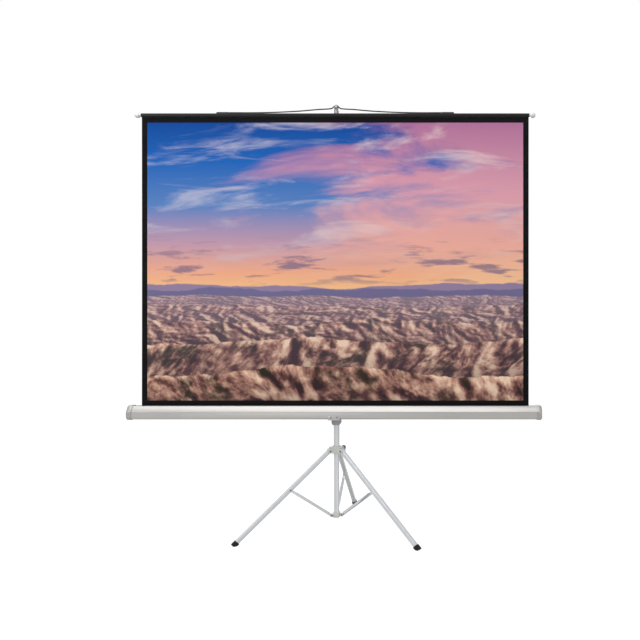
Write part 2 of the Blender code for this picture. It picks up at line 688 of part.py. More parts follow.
def case_outline():
    """The case's section, seen from -X: first the distance from the back, then the height."""
    back, front = CASE_DEPTH / 2, -CASE_DEPTH / 2
    top, bottom = CASE_HEIGHT / 2, -CASE_HEIGHT / 2
    points = (
        (front, bottom + CASE_LOW_CHAMFER[1]),
        (front + CASE_LOW_CHAMFER[0], bottom),
        (back - CASE_BACK_LOW_CHAMFER, bottom),
        (back, bottom + CASE_BACK_LOW_CHAMFER),
        (back, top - CASE_BACK_HIGH_CHAMFER[1]),
        (back - CASE_BACK_HIGH_CHAMFER[0], top),
        (front + CASE_HIGH_CHAMFER[0], top),
        (front, top - CASE_HIGH_CHAMFER[1]),
    )
    return rounded_outline(points, CASE_EDGE, 2)


def case_prism(outline, low, high):
    """A prism along X whose outline lies in Y and Z."""
    return moved(prism(outline, low, high), along(X_AXIS, up=Z_AXIS))


def build_case(carrier, materials):
    """The housing, its end caps and the saddle that carries it, on the swivel."""
    swivel = empty("case_swivel", (0, CASE_CENTRE_Y, CASE_CENTRE_Z), parent=carrier)
    half = CASE_LENGTH / 2
    outline = case_outline()
    shell = part("case_shell", case_prism(outline, -half, half), materials["case"], swivel)
    cavity = grown_outline(outline, -CASE_WALL)
    cut(shell, case_prism(cavity, -half - OVERRUN, half + OVERRUN))
    slot_y = CLOTH_Y - CASE_CENTRE_Y
    top = CASE_HEIGHT / 2
    cut(
        shell,
        box(
            (-half - OVERRUN, slot_y - SLOT_WIDTH / 2, top - 2 * CASE_WALL),
            (half + OVERRUN, slot_y + SLOT_WIDTH / 2, top + OVERRUN),
        ),
    )

    roller_y, roller_z = ROLLER_Y - CASE_CENTRE_Y, ROLLER_Z - CASE_CENTRE_Z
    for side, name in ((-1, "left"), (1, "right")):
        rim = grown_outline(outline, CAP_LIP)
        seat = grown_outline(outline, GAP)
        ends = sorted((side * (half - CAP_OVERLAP), side * (half + CAP_END)))
        cap_mesh = case_prism(rim, *ends)
        outer_x = side * (half + CAP_END)
        edges = [
            e for e in cap_mesh.edges if all(abs(v.co.x - outer_x) < GAP for v in e.verts)
        ]
        bmesh.ops.bevel(cap_mesh, geom=edges, offset=CAP_ROUND, segments=2, affect="EDGES")
        cap = part(f"case_cap_{name}", cap_mesh, materials["cap"], swivel)
        pocket = sorted((side * (half - CAP_OVERLAP - OVERRUN), side * (half + GAP)))
        cut(cap, case_prism(seat, *pocket))
        stop = side * (half - CAP_BOSS_REACH)
        boss_ends = sorted((stop, side * (half + CAP_END / 2)))
        boss = prism(circle_outline(CAP_BOSS_RADIUS, PLAIN_SIDES, (roller_y, roller_z)), *boss_ends)
        weld(cap, moved(boss, along(X_AXIS, up=Z_AXIS)))
        hole_ends = sorted((stop - side * OVERRUN, side * (half + CAP_END / 4)))
        hole = circle_outline(GUDGEON_RADIUS + GAP, PLAIN_SIDES, (roller_y, roller_z))
        cut(cap, moved(prism(hole, *hole_ends), along(X_AXIS, up=Z_AXIS)))

    back = CASE_DEPTH / 2 + GAP
    under = -CASE_HEIGHT / 2 - GAP
    wide = SADDLE_WIDTH / 2
    front = -CASE_DEPTH / 2 - GAP
    strap = (
        (front - SADDLE_THICK, under - SADDLE_THICK),
        (back + SADDLE_THICK, under - SADDLE_THICK),
        (back + SADDLE_THICK, -under - SADDLE_BACK_DROP),
        (back, -under - SADDLE_BACK_DROP),
        (back, under),
        (front, under),
        (front, under + SADDLE_LIP),
        (front - SADDLE_THICK, under + SADDLE_LIP),
    )
    saddle = part("case_saddle", case_prism(strap, -wide, wide), materials["casting"], swivel)
    boss = prism(circle_outline(SWIVEL_RADIUS, FINE_SIDES), -SADDLE_THICK / 2, SWIVEL_DEPTH)
    weld(saddle, moved(boss, along(Y_AXIS, (0, back + SADDLE_THICK, 0))))
    for side, name in ((-1, "left"), (1, "right")):
        profile = (
            (SCREW_RADIUS, 0.0),
            (SCREW_RADIUS, SCREW_THICK / 2),
            (SCREW_RADIUS * SCREW_CROWN, SCREW_THICK),
        )
        place = (side * SCREW_SPACING / 2, front - SADDLE_THICK - GAP, under + SCREW_LIFT)
        screw = moved(turned(profile), along(-Y_AXIS, place))
        part(f"saddle_screw_{name}", screw, materials["steel"], swivel)
    return swivel


def build_carrier(root, materials):
    """The sleeve that carries the case up and down the mast."""
    carrier = empty("carrier_slide", parent=root)
    outline = (
        (-SLEEVE_FOOT_WIDTH / 2, SLEEVE_BOTTOM_Z),
        (SLEEVE_FOOT_WIDTH / 2, SLEEVE_BOTTOM_Z),
        (SLEEVE_WIDTH / 2, SLEEVE_BOTTOM_Z + SLEEVE_FOOT_HEIGHT),
        (SLEEVE_WIDTH / 2, SLEEVE_TOP_Z),
        (-SLEEVE_WIDTH / 2, SLEEVE_TOP_Z),
        (-SLEEVE_WIDTH / 2, SLEEVE_BOTTOM_Z + SLEEVE_FOOT_HEIGHT),
    )
    block = prism(rounded_outline(outline, SLEEVE_EDGE), -SLEEVE_DEPTH / 2, SLEEVE_DEPTH / 2)
    sleeve = part("carrier_sleeve", moved(block, along(-Y_AXIS)), materials["grey_plastic"], carrier)
    bore = rounded_rectangle(OUTER_SIZE + 2 * RUN, OUTER_SIZE + 2 * RUN, TUBE_CORNER)
    cut(sleeve, prism(bore, SLEEVE_BOTTOM_Z - OVERRUN, SLEEVE_TOP_Z + OVERRUN))
    front = -SLEEVE_DEPTH / 2
    saddle_back = CASE_BACK_Y + GAP + SADDLE_THICK
    pad_outline = circle_outline(SWIVEL_RADIUS + PAD_RIM, FINE_SIDES)
    pad = prism(pad_outline, -OVERRUN / 2, front - saddle_back - GAP)
    weld(sleeve, moved(pad, along(-Y_AXIS, (0, front, CASE_CENTRE_Z))))
    socket_floor = saddle_back + SWIVEL_DEPTH + RUN
    socket_outline = circle_outline(SWIVEL_RADIUS + GAP, FINE_SIDES)
    socket = prism(socket_outline, 0.0, socket_floor - saddle_back + OVERRUN)
    cut(sleeve, moved(socket, along(-Y_AXIS, (0, socket_floor, CASE_CENTRE_Z))))
    return carrier


def build_roller(swivel, materials):
    """The spring roller that the cloth winds on, with its plugs, fixed dowel and spring."""
    y, z = ROLLER_Y - CASE_CENTRE_Y, ROLLER_Z - CASE_CENTRE_Z
    roller = empty("roller_axis", rotation=along(X_AXIS, (0, y, z)), parent=swivel)
    half = ROLLER_LENGTH / 2
    bore = ROLLER_RADIUS - ROLLER_WALL
    outer, inner = (circle_outline(radius, FINE_SIDES) for radius in (ROLLER_RADIUS, bore))
    tube = pipe(outer, inner, -half, half)
    part("roller_tube", tube, materials["aluminium"], roller)
    shell_end = CASE_LENGTH / 2
    body = (
        (bore - GAP, half - PLUG_DEPTH),
        (bore - GAP, half + GAP),
        (ROLLER_RADIUS, half + GAP),
        (ROLLER_RADIUS, half + PLUG_FLANGE),
    )
    gudgeon = ((GUDGEON_RADIUS, half + PLUG_FLANGE), (GUDGEON_RADIUS, shell_end))
    plug = turned(body + gudgeon, FINE_SIDES)
    part("roller_plug_right", plug, materials["black_plastic"], roller)
    bearing = moved(turned(body, FINE_SIDES), Matrix.Rotation(math.pi, 4, "Y"))
    bearing = part("roller_plug_left", bearing, materials["black_plastic"], roller)
    passage = circle_outline(GUDGEON_RADIUS + RUN, PLAIN_SIDES)
    cut(bearing, prism(passage, -half - PLUG_FLANGE - OVERRUN, -half + PLUG_DEPTH + OVERRUN))

    spring_low = -half + PLUG_DEPTH + SPRING_START
    spring_high = spring_low + SPRING_TURNS * SPRING_PITCH
    curve = bpy.data.curves.new("roller_spring", "CURVE")
    curve.dimensions = "3D"
    curve.bevel_depth = SPRING_WIRE
    curve.bevel_resolution = 0
    curve.use_fill_caps = True
    spline = curve.splines.new("POLY")
    count = SPRING_TURNS * SPRING_POINTS + 1
    spline.points.add(count - 1)
    for i, point in enumerate(spline.points):
        turn = 2 * math.pi * i / SPRING_POINTS
        point.co = (
            SPRING_RADIUS * math.cos(turn),
            SPRING_RADIUS * math.sin(turn),
            spring_low + SPRING_PITCH * i / SPRING_POINTS,
            1.0,
        )
    curve.materials.append(materials["steel"])
    spring = bpy.data.objects.new("roller_spring", curve)
    spring.parent = roller
    bpy.context.collection.objects.link(spring)
    shoulder = -half + PLUG_DEPTH + RUN
    dowel = (
        (GUDGEON_RADIUS, -shell_end),
        (GUDGEON_RADIUS, shoulder),
        (DOWEL_RADIUS, shoulder),
        (DOWEL_RADIUS, spring_high + DOWEL_MARGIN),
    )
    dowel = moved(turned(dowel, PLAIN_SIDES), along(X_AXIS, (0, y, z)))
    part("spring_dowel", dowel, materials["steel"], swivel)


def build_screen(swivel, materials):
    """The cloth with its white face, the top bar, its end pieces, the clips and the hanger cord."""
    # This frame's origin is the case's centre, so world heights are taken from it.
    lift = empty("screen_lift", (0, -CASE_CENTRE_Y, -CASE_CENTRE_Z), parent=swivel)
    half = CLOTH_WIDTH / 2
    cloth = box(
        (-half, CLOTH_Y - CLOTH_THICK / 2, CLOTH_BOTTOM_Z),
        (half, CLOTH_Y + CLOTH_THICK / 2, CLOTH_TOP_Z),
    )
    part("screen_cloth", cloth, materials["black_cloth"], lift)
    face_back = CLOTH_Y - CLOTH_THICK / 2 - GAP
    face = box(
        (-PICTURE_WIDTH / 2, face_back - FACE_THICK, PICTURE_BOTTOM_Z),
        (PICTURE_WIDTH / 2, face_back, PICTURE_TOP_Z),
    )
    part("white_face", face, materials["white_face"], lift)

    outline = rounded_rectangle(
        TOP_BAR_DEPTH, TOP_BAR_HEIGHT, TOP_BAR_ROUND, (CLOTH_Y, TOP_BAR_CENTRE_Z), 4
    )
    bar_half = TOP_BAR_LENGTH / 2
    bore = grown_outline(outline, -TOP_BAR_WALL)
    bar = moved(pipe(outline, bore, -bar_half, bar_half), along(X_AXIS, up=Z_AXIS))
    part("top_bar", bar, materials["black_bar"], lift)
    for side, name in ((-1, "left"), (1, "right")):
        profile = (
            (SPIGOT_RADIUS, -BAR_SPIGOT + GAP),
            (SPIGOT_RADIUS, GAP),
            (BAR_END_NECK_RADIUS, GAP),
            (BAR_END_NECK_RADIUS, BAR_END_NECK),
            (BAR_END_RADIUS, BAR_END_NECK + BAR_END_EDGE),
            (BAR_END_RADIUS, BAR_END_LENGTH - BAR_END_DOME),
            (BAR_END_CROWN, BAR_END_LENGTH),
        )
        place = (side * bar_half, CLOTH_Y, TOP_BAR_CENTRE_Z)
        knob = moved(turned(profile, PLAIN_SIDES), along(X_AXIS * side, place))
        part(f"bar_end_{name}", knob, materials["white_plastic"], lift)

    for side, name in ((-1, "left"), (1, "right")):
        ends = sorted((side * CLIP_REACH, side * (CLIP_REACH + CLIP_LENGTH)))
        low = TOP_BAR_TOP_Z + GAP
        clip = box(
            (ends[0], CLOTH_Y - CLIP_DEPTH / 2, low),
            (ends[1], CLOTH_Y + CLIP_DEPTH / 2, low + CLIP_HEIGHT),
        )
        edges = [e for e in clip.edges if all(v.co.z > low + GAP for v in e.verts)]
        bmesh.ops.bevel(clip, geom=edges, offset=CLIP_EDGE, segments=2, affect="EDGES")
        part(f"cord_clip_{name}", clip, materials["black_plastic"], lift)
    build_cord(lift, materials)


def build_cord(parent, materials):
    """The hanger cord: out of one clip, up over the hook's notch and down to the other."""
    drop = CORD_Z - CORD_END_Z
    half_route = (
        (0.0, 0.0),
        (HOOK_PRONG_WIDTH * 0.65, 0.004 * drop),
        (HOOK_PRONG_WIDTH * 1.2, 0.15 * drop),
        (HOOK_PRONG_WIDTH * 2.1, 0.33 * drop),
        (CLIP_REACH * 0.18, 0.48 * drop),
        (CLIP_REACH * 0.34, 0.66 * drop),
        (CLIP_REACH * 0.50, 0.81 * drop),
        (CLIP_REACH * 0.66, 0.92 * drop),
        (CLIP_REACH * 0.84, 0.985 * drop),
        (CLIP_REACH * CORD_LEVEL_SHARE, drop),
        (CLIP_REACH - GAP, drop),
    )
    route = [(-x, fall) for x, fall in reversed(half_route[1:])] + list(half_route)
    knots = []
    for x, fall in route:
        share = min(abs(x) / (CLIP_REACH * CORD_LEVEL_SHARE), 1.0)
        knots.append(Vector((x, CORD_APEX_Y + (CLOTH_Y - CORD_APEX_Y) * share, CORD_Z - fall)))
    points = [knots[0]]
    for i in range(len(knots) - 1):
        before = knots[max(i - 1, 0)]
        after = knots[min(i + 2, len(knots) - 1)]
        start, end = knots[i], knots[i + 1]
        span = (end - start).length
        slope_in = (end - before).normalized() * span
        slope_out = (after - start).normalized() * span
        for step in (1, 2, 3):
            t = step / 3
            blend_in = t * t * (3 - 2 * t)
            point = start.lerp(end, blend_in)
            point += slope_in * (t - 2 * t * t + t * t * t) + slope_out * (t * t * t - t * t)
            points.append(point)
    curve = bpy.data.curves.new("hanger_cord", "CURVE")
    curve.dimensions = "3D"
    curve.bevel_depth = CORD_RADIUS
    curve.bevel_resolution = 2
    curve.use_fill_caps = True
    spline = curve.splines.new("POLY")
    spline.points.add(len(points) - 1)
    for point, place in zip(spline.points, points):
        point.co = (*place, 1.0)
    curve.materials.append(materials["cord"])
    cord = bpy.data.objects.new("hanger_cord", curve)
    cord.parent = parent
    bpy.context.collection.objects.link(cord)


def centre_on_floor(root):
    """Moves the whole assembly so that the middle of its bounding box lies over the origin."""
    bpy.context.view_layer.update()
    graph = bpy.context.evaluated_depsgraph_get()
    places = []
    for thing in bpy.context.scene.objects:
        if thing.type == "EMPTY" or thing.hide_render:
            continue
        evaluated = thing.evaluated_get(graph)
        mesh = evaluated.to_mesh()
        places += [evaluated.matrix_world @ vertex.co for vertex in mesh.vertices]
        evaluated.to_mesh_clear()
    middle = [(min(p[axis] for p in places) + max(p[axis] for p in places)) / 2 for axis in (0, 1)]
    root.location = (-middle[0], -middle[1], 0.0)


def main():
    for thing in list(bpy.data.objects):
        bpy.data.objects.remove(thing, do_unlink=True)
    materials = {
        "tube": make_material("grey_lacquer", (0.72, 0.74, 0.76), 0.2, 0.38),
        "strip": make_material("brace_steel", (0.66, 0.68, 0.70), 0.5, 0.40),
        "casting": make_material("hub_grey", (0.70, 0.70, 0.70), 0.0, 0.45),
        "steel": make_material("zinc_steel", (0.55, 0.56, 0.58), 0.9, 0.35),
        "aluminium": make_material("roller_aluminium", (0.75, 0.76, 0.78), 1.0, 0.35),
        "case": make_material("case_silver", (0.68, 0.67, 0.66), 0.3, 0.35),
        "cap": make_material("cap_silver", (0.66, 0.66, 0.65), 0.0, 0.40),
        "rubber": make_material("foot_rubber", (0.02, 0.02, 0.02), 0.0, 0.75),
        "grey_plastic": make_material("grey_plastic", (0.62, 0.63, 0.64), 0.0, 0.45),
        "black_plastic": make_material("black_plastic", (0.02, 0.02, 0.02), 0.0, 0.45),
        "white_plastic": make_material("white_plastic", (0.85, 0.85, 0.83), 0.0, 0.35),
        "black_bar": make_material("bar_black", (0.03, 0.03, 0.03), 0.0, 0.40),
        "black_cloth": make_material("cloth_black", (0.012, 0.012, 0.013), 0.0, 0.85),
        "white_face": make_material("face_white", (0.88, 0.88, 0.88), 0.0, 0.80),
        "cord": make_material("cord_black", (0.02, 0.02, 0.02), 0.0, 0.80),
    }
    root = empty("stand")
    build_mast(root, materials)
    build_hub(root, materials)
    slider = build_lower_tube(root, materials)
    for name, turn in leg_directions():
        build_leg(name, turn, root, materials)
        build_brace(name, turn, slider, materials)
    build_rod(root, materials)
    carrier = build_carrier(root, materials)
    swivel = build_case(carrier, materials)
    build_roller(swivel, materials)
    build_screen(swivel, materials)

    knob_turn = math.pi / 2 - (BACK_LEG_TURN + math.pi / LEG_COUNT)
    outwards = Vector((math.cos(knob_turn), math.sin(knob_turn), 0))
    hub_z = LEG_PIVOT_Z + HUB_EAR_RADIUS
    hub_seat = outwards * (HUB_SLEEVE_RADIUS + GAP)
    build_knob("hub_knob", along(outwards, (hub_seat.x, hub_seat.y, hub_z)), root, materials)
    sleeve_z = SLEEVE_BOTTOM_Z + (SLEEVE_TOP_Z - SLEEVE_BOTTOM_Z) / 2
    sleeve_seat = (0, SLEEVE_DEPTH / 2 + GAP, sleeve_z)
    build_knob("carrier_knob", along(Y_AXIS, sleeve_seat), carrier, materials)
    collar_z = OUTER_TOP_Z - TOP_COLLAR_HEIGHT / 2 + TOP_COLLAR_WALL
    collar_seat = (0, OUTER_SIZE / 2 + GAP + TOP_COLLAR_WALL + GAP, collar_z)
    build_knob("rod_knob", along(Y_AXIS, collar_seat), root, materials)
    centre_on_floor(root)


main()
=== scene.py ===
"""The looks of the tripod projection screen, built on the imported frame. Metres, +Z up, picture side -Y."""

import json
import math

import bmesh
import bpy
from mathutils import Matrix, Vector


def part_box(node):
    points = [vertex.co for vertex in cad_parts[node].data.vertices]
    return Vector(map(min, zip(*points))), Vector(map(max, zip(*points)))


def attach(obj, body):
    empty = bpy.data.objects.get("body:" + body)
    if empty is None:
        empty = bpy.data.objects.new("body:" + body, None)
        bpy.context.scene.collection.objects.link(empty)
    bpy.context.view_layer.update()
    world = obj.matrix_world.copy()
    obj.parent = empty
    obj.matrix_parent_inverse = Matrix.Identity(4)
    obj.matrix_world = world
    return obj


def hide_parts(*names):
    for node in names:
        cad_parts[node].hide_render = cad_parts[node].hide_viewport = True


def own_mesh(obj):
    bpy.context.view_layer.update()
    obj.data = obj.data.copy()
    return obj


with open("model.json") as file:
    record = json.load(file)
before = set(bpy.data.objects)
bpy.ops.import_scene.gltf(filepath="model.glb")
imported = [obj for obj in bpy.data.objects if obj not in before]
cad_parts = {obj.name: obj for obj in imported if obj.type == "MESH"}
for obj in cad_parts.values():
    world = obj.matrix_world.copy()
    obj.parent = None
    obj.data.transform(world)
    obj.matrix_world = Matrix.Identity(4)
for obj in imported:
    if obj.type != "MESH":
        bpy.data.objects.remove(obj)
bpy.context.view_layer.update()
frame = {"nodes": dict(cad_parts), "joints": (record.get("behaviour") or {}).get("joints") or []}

NODES = frame["nodes"]
JOINTS = {joint["name"]: joint for joint in frame["joints"]}
Y_AXIS, Z_AXIS = Vector((0, 1, 0)), Vector((0, 0, 1))

# The photograph's camera: a level view, with its pixel columns and rows counted in a 640 x 640 frame
FRAME_PIXELS = 640
MAST_COLUMN = 336.6
VANISHING_COLUMN = 435.0
METRES_PER_PIXEL = 0.005475  # in the mast's plane
CAMERA_DISTANCE = 3.622  # in front of the mast's plane
CAMERA_HEIGHT = 1.155
SENSOR_WIDTH = 36.0

# Stage and light
FLOOR_HALF = 14.0
FLOOR_TONE = 0.45
FLOOR_GLOW = 0.86
WORLD_LIGHT = 0.36

# Lamps: place, target, width and height in metres, and power in watts
LAMPS = {
    "overhead": ((-0.6, -1.4, 4.6), (0.0, -0.2, 1.0), (5.0, 2.4), 108.0),
    "key_left": ((-3.6, -3.8, 3.2), (0.0, 0.0, 1.1), (2.4, 2.4), 88.0),
    "fill_right": ((3.6, -3.8, 1.8), (0.0, 0.0, 1.0), (2.4, 2.4), 34.0),
    "low_front": ((-1.2, -4.6, 0.4), (0.0, 0.0, 0.3), (1.6, 0.6), 7.0),
    "back": ((0.5, 3.6, 3.0), (0.0, 0.0, 1.2), (3.0, 2.0), 34.0),
}

# Cloth and picture
PICTURE_ASPECT = 4 / 3
SHEET_COLUMNS = 96
SHEET_ROWS = 72
CLOTH_THICKNESS = 0.0006
FACE_THICKNESS = 0.0003
FACE_GAP = 0.0004
WAVE_DEPTH = 0.0012  # how far the hanging cloth bows
EDGE_CURL = 0.0025  # how far the side edges turn back
EDGE_WIDTH = 0.05  # width of the curled edge
LIFT_TRAVEL = 1.54
ROLLER_CLEAR = 0.008  # where the rolled-up picture ends, above the roller's axis
BAR_CLEAR = 0.002

# Hanger cord
CORD_SOLID_RADIUS = 0.0025
CORD_RADIUS = 0.0033  # as thick as the photograph shows it
CORD_SIDES = 12
CORD_STEPS = 10
CORD_PRONG = 0.014  # half the width of the hook's top, which the cord bends over
CORD_LEVEL = 0.94  # the share of its reach from which it runs level into the clip
CORD_END_GAP = 0.0003
BRAID_PER_METRE = 420.0
BRAID_STARTS = 4.0

# Hook
HOOK_CAP_WALL = 0.0035
HOOK_SLOT_WIDTH = 0.0034
HOOK_SLOT_DEPTH = 0.0026
HOOK_SLOT_TOP = 0.023  # from the cap's rim
HOOK_SLOT_SPACING = 0.0135
HOOK_SLOT_LEAN = math.radians(4)

# The ridge up the mast's tubes: a small bump, with a painted highlight along it
BEAD_X = 0.0050
BEAD_HALF = 0.0026
BEAD_HIGHLIGHT_SHARE = 0.6
BEAD_HIGHLIGHT_COLOUR = (0.90, 0.92, 0.94)

# Braces and feet
BRACE_HALF_WIDTH = 0.007
BRACE_OUTER = 0.0138  # from the leg's middle plane to the strip's outer face
FLANGE_REACH = 0.0145  # from the strip's outer face, across the leg's middle plane
FLANGE_THICK = 0.0015
FLANGE_LAP = 0.0002  # how far the flange's root runs into the strip's edge
FLANGE_START = 0.014  # clear of the collar's lug
FLANGE_STOP = 0.036  # clear of the folded leg
LIP_DEPTH = 0.0135
LIP_START = 0.024  # from the pivot in the collar
LIP_STOP = 0.050  # from the rivet in the leg
LIP_END = 0.0025  # the lip's depth at its upper end
LIP_TAPER = 0.085  # the length over which it narrows, so that it clears the folded leg
FLANGE_CHAMFER = 0.004
FOOT_SLIM = 0.90  # across the leg
FOOT_SHORT = {"back": 1.0, "left": 0.82, "right": 0.82}  # along the leg
FLOOR_BAND = 0.0005  # a foot's corners this low stand on the floor

# Screw heads, as shares of their radius and height
SCREW_FLAT = 0.35
SCREW_STEPS = 6
SCREW_SIDES = 32
RECESS_LENGTH = 1.15
RECESS_WIDTH = 0.26

# Edges
EDGE_ROUND = 0.0005
PIN_EDGE = 0.0002
THIN_EDGE = 0.0003
MOULDED_EDGE = 0.0006
PLASTIC_EDGE = 0.0008
WELD_REACH = 0.00001
SMOOTH_ANGLE = math.radians(38)


# Node helpers


class Graph:
    """A material's node tree, with one short call for each kind of node."""

    def __init__(self, name):
        self.material = bpy.data.materials.new(name)
        self.material.use_nodes = True
        self.tree = self.material.node_tree
        self.shader = self.tree.nodes["Principled BSDF"]

    def node(self, kind, **values):
        made = self.tree.nodes.new(kind)
        for key, value in values.items():
            setattr(made, key, value)
        return made

    def plug(self, value, socket):
        """A link where value is a socket, and otherwise the socket's own value."""
        if isinstance(value, bpy.types.NodeSocket):
            self.tree.links.new(value, socket)
        elif hasattr(value, "__len__") and len(value) == 3 and socket.type == "RGBA":
            socket.default_value = (*value, 1.0)
        else:
            socket.default_value = value

    def place(self, space="Object"):
        return self.node("ShaderNodeTexCoord").outputs[space]

    def scaled(self, vector, scale):
        made = self.node("ShaderNodeMapping")
        self.plug(vector, made.inputs["Vector"])
        made.inputs["Scale"].default_value = scale
        return made.outputs["Vector"]

    def split(self, vector):
        made = self.node("ShaderNodeSeparateXYZ")
        self.plug(vector, made.inputs[0])
        return made.outputs

    def joined(self, x, y, z=0.0):
        made = self.node("ShaderNodeCombineXYZ")
        for value, socket in zip((x, y, z), made.inputs):
            self.plug(value, socket)
        return made.outputs[0]

    def math(self, operation, a, b=0.0):
        made = self.node("ShaderNodeMath", operation=operation)
        for value, socket in zip((a, b), made.inputs):
            self.plug(value, socket)
        return made.outputs[0]

    def noise(self, vector, scale, detail=4.0, roughness=0.5, distortion=0.0):
        made = self.node("ShaderNodeTexNoise", noise_type="FBM", normalize=True)
        self.plug(vector, made.inputs["Vector"])
        made.inputs["Scale"].default_value = scale
        made.inputs["Detail"].default_value = detail
        made.inputs["Roughness"].default_value = roughness
        made.inputs["Distortion"].default_value = distortion
        return made.outputs[0]

    def wave(self, vector, scale, direction, distortion=0.0):
        made = self.node("ShaderNodeTexWave", bands_direction=direction, wave_profile="SIN")
        self.plug(vector, made.inputs["Vector"])
        made.inputs["Scale"].default_value = scale
        made.inputs["Distortion"].default_value = distortion
        return made.outputs["Fac"]

    def ramp(self, factor, *stops):
        """A colour ramp from (place, colour) stops."""
        made = self.node("ShaderNodeValToRGB")
        self.plug(factor, made.inputs[0])
        elements = made.color_ramp.elements
        while len(elements) < len(stops):
            elements.new(0.5)
        for element, (place, colour) in zip(elements, stops):
            element.position = place
            element.color = (*colour, 1.0)
        return made.outputs[0]

    def range(self, value, low, high, to_low=0.0, to_high=1.0, smooth=False):
        kind = "SMOOTHSTEP" if smooth else "LINEAR"
        made = self.node("ShaderNodeMapRange", interpolation_type=kind, clamp=True)
        for entry, socket in zip((value, low, high, to_low, to_high), made.inputs):
            self.plug(entry, socket)
        return made.outputs[0]

    def mix(self, factor, a, b):
        """Two colours mixed. Their sockets share names with other types, so they go by number."""
        made = self.node("ShaderNodeMix", data_type="RGBA", blend_type="MIX")
        self.plug(factor, made.inputs["Factor"])
        self.plug(a, made.inputs[6])
        self.plug(b, made.inputs[7])
        return made.outputs[2]

    def bump(self, height, strength, distance):
        made = self.node("ShaderNodeBump")
        made.inputs["Strength"].default_value = strength
        made.inputs["Distance"].default_value = distance
        self.plug(height, made.inputs["Height"])
        return made.outputs["Normal"]

    def surface(self, colour=None, roughness=None, normal=None, **values):
        for name, value in (("Base Color", colour), ("Roughness", roughness), ("Normal", normal)):
            if value is not None:
                self.plug(value, self.shader.inputs[name])
        for name, value in values.items():
            self.shader.inputs[name.replace("_", " ")].default_value = value
        return self.material


# Materials

CLEAR_COAT = 0.18
DRAWN_UP = (1.0, 1.0, 0.02)  # streaks drawn out along Z
DRAWN_ACROSS = (0.012, 1.0, 1.0)  # and along X
UNDRAWN = (1.0, 1.0, 1.0)

# Each metal: its colour, metallic share, roughness, streak strength and streak scale
METALS = {
    "tube_lacquer": ((0.60, 0.62, 0.64), 0.25, 0.32, 0.05, DRAWN_UP),
    # The back leg's copy of the tube lacquer, darker: painted shade
    "back_leg_painted_shade": ((0.50, 0.515, 0.53), 0.30, 0.32, 0.05, DRAWN_UP),
    # The mast's lacquer, with a painted highlight along its ridge
    "mast_lacquer_painted_highlight": ((0.58, 0.60, 0.62), 0.25, 0.32, 0.05, DRAWN_UP),
    # The braces' lacquer, paler than the tubes': partly painted light against the shade under the flange
    "strip_lacquer_painted_light": ((0.66, 0.68, 0.69), 0.15, 0.36, 0.06, (1.0, 1.0, 0.05)),
    "case_lacquer": ((0.41, 0.398, 0.382), 0.42, 0.30, 0.04, DRAWN_ACROSS),
    "roller_metal": ((0.55, 0.56, 0.58), 0.9, 0.30, 0.05, (0.02, 1.0, 1.0)),
    "bar_anodised": ((0.009, 0.009, 0.010), 0.75, 0.40, 0.10, DRAWN_ACROSS),
    "zinc_plate": ((0.46, 0.47, 0.49), 0.85, 0.28, 0.08, UNDRAWN),
    "dark_zinc_plate": ((0.16, 0.16, 0.165), 0.6, 0.34, 0.10, UNDRAWN),
    "saddle_paint": ((0.40, 0.395, 0.385), 0.30, 0.36, 0.04, UNDRAWN),
    "cap_lacquer": ((0.335, 0.322, 0.305), 0.45, 0.34, 0.05, UNDRAWN),
}

# Each plastic: its colour and roughness
PLASTICS = {
    "hub_plastic": ((0.70, 0.71, 0.67), 0.40),
    "grey_plastic_finish": ((0.42, 0.43, 0.44), 0.40),
    "knob_finish": ((0.20, 0.20, 0.195), 0.42),
    "black_plastic_finish": ((0.014, 0.014, 0.015), 0.42),
}

# The picture's colour stops: the sky from the horizon up, its warm haze, and rock from shade to light
SKY_STOPS = (
    (0.38, (0.96, 0.58, 0.26)),
    (0.46, (0.90, 0.42, 0.26)),
    (0.56, (0.56, 0.33, 0.42)),
    (0.70, (0.10, 0.22, 0.52)),
    (0.86, (0.012, 0.12, 0.45)),
    (1.00, (0.004, 0.06, 0.30)),
)
WARM_STOPS = (
    (0.38, (0.97, 0.60, 0.30)),
    (0.55, (0.90, 0.44, 0.34)),
    (0.75, (0.78, 0.36, 0.42)),
    (1.00, (0.46, 0.17, 0.31)),
)
ROCK_STOPS = (
    (0.10, (0.035, 0.018, 0.020)),
    (0.36, (0.150, 0.066, 0.056)),
    (0.52, (0.360, 0.180, 0.140)),
    (0.70, (0.640, 0.370, 0.270)),
    (0.94, (0.930, 0.680, 0.500)),
)

# Far hills: seed, skyline, half its swing, how fast it wanders, and colour
HILLS = (
    (3.1, 0.415, 0.020, 2.4, (0.30, 0.22, 0.36)),
    (9.7, 0.400, 0.018, 3.0, (0.17, 0.15, 0.29)),
)

# Slopes from far to near: seed, skyline, half its swing, wander, gully scale, lean, stretch and haze
SLOPES = (
    (15.0, 0.375, 0.012, 3.0, 13.0, 0.4, 3.4, 0.62),
    (23.0, 0.340, 0.022, 2.6, 10.0, -0.5, 2.2, 0.40),
    (31.0, 0.285, 0.034, 2.2, 7.5, 0.5, 1.3, 0.22),
    (47.0, 0.205, 0.042, 1.9, 5.6, -0.4, 0.95, 0.10),
    (59.0, 0.100, 0.046, 1.7, 4.2, 0.45, 0.80, 0.0),
)


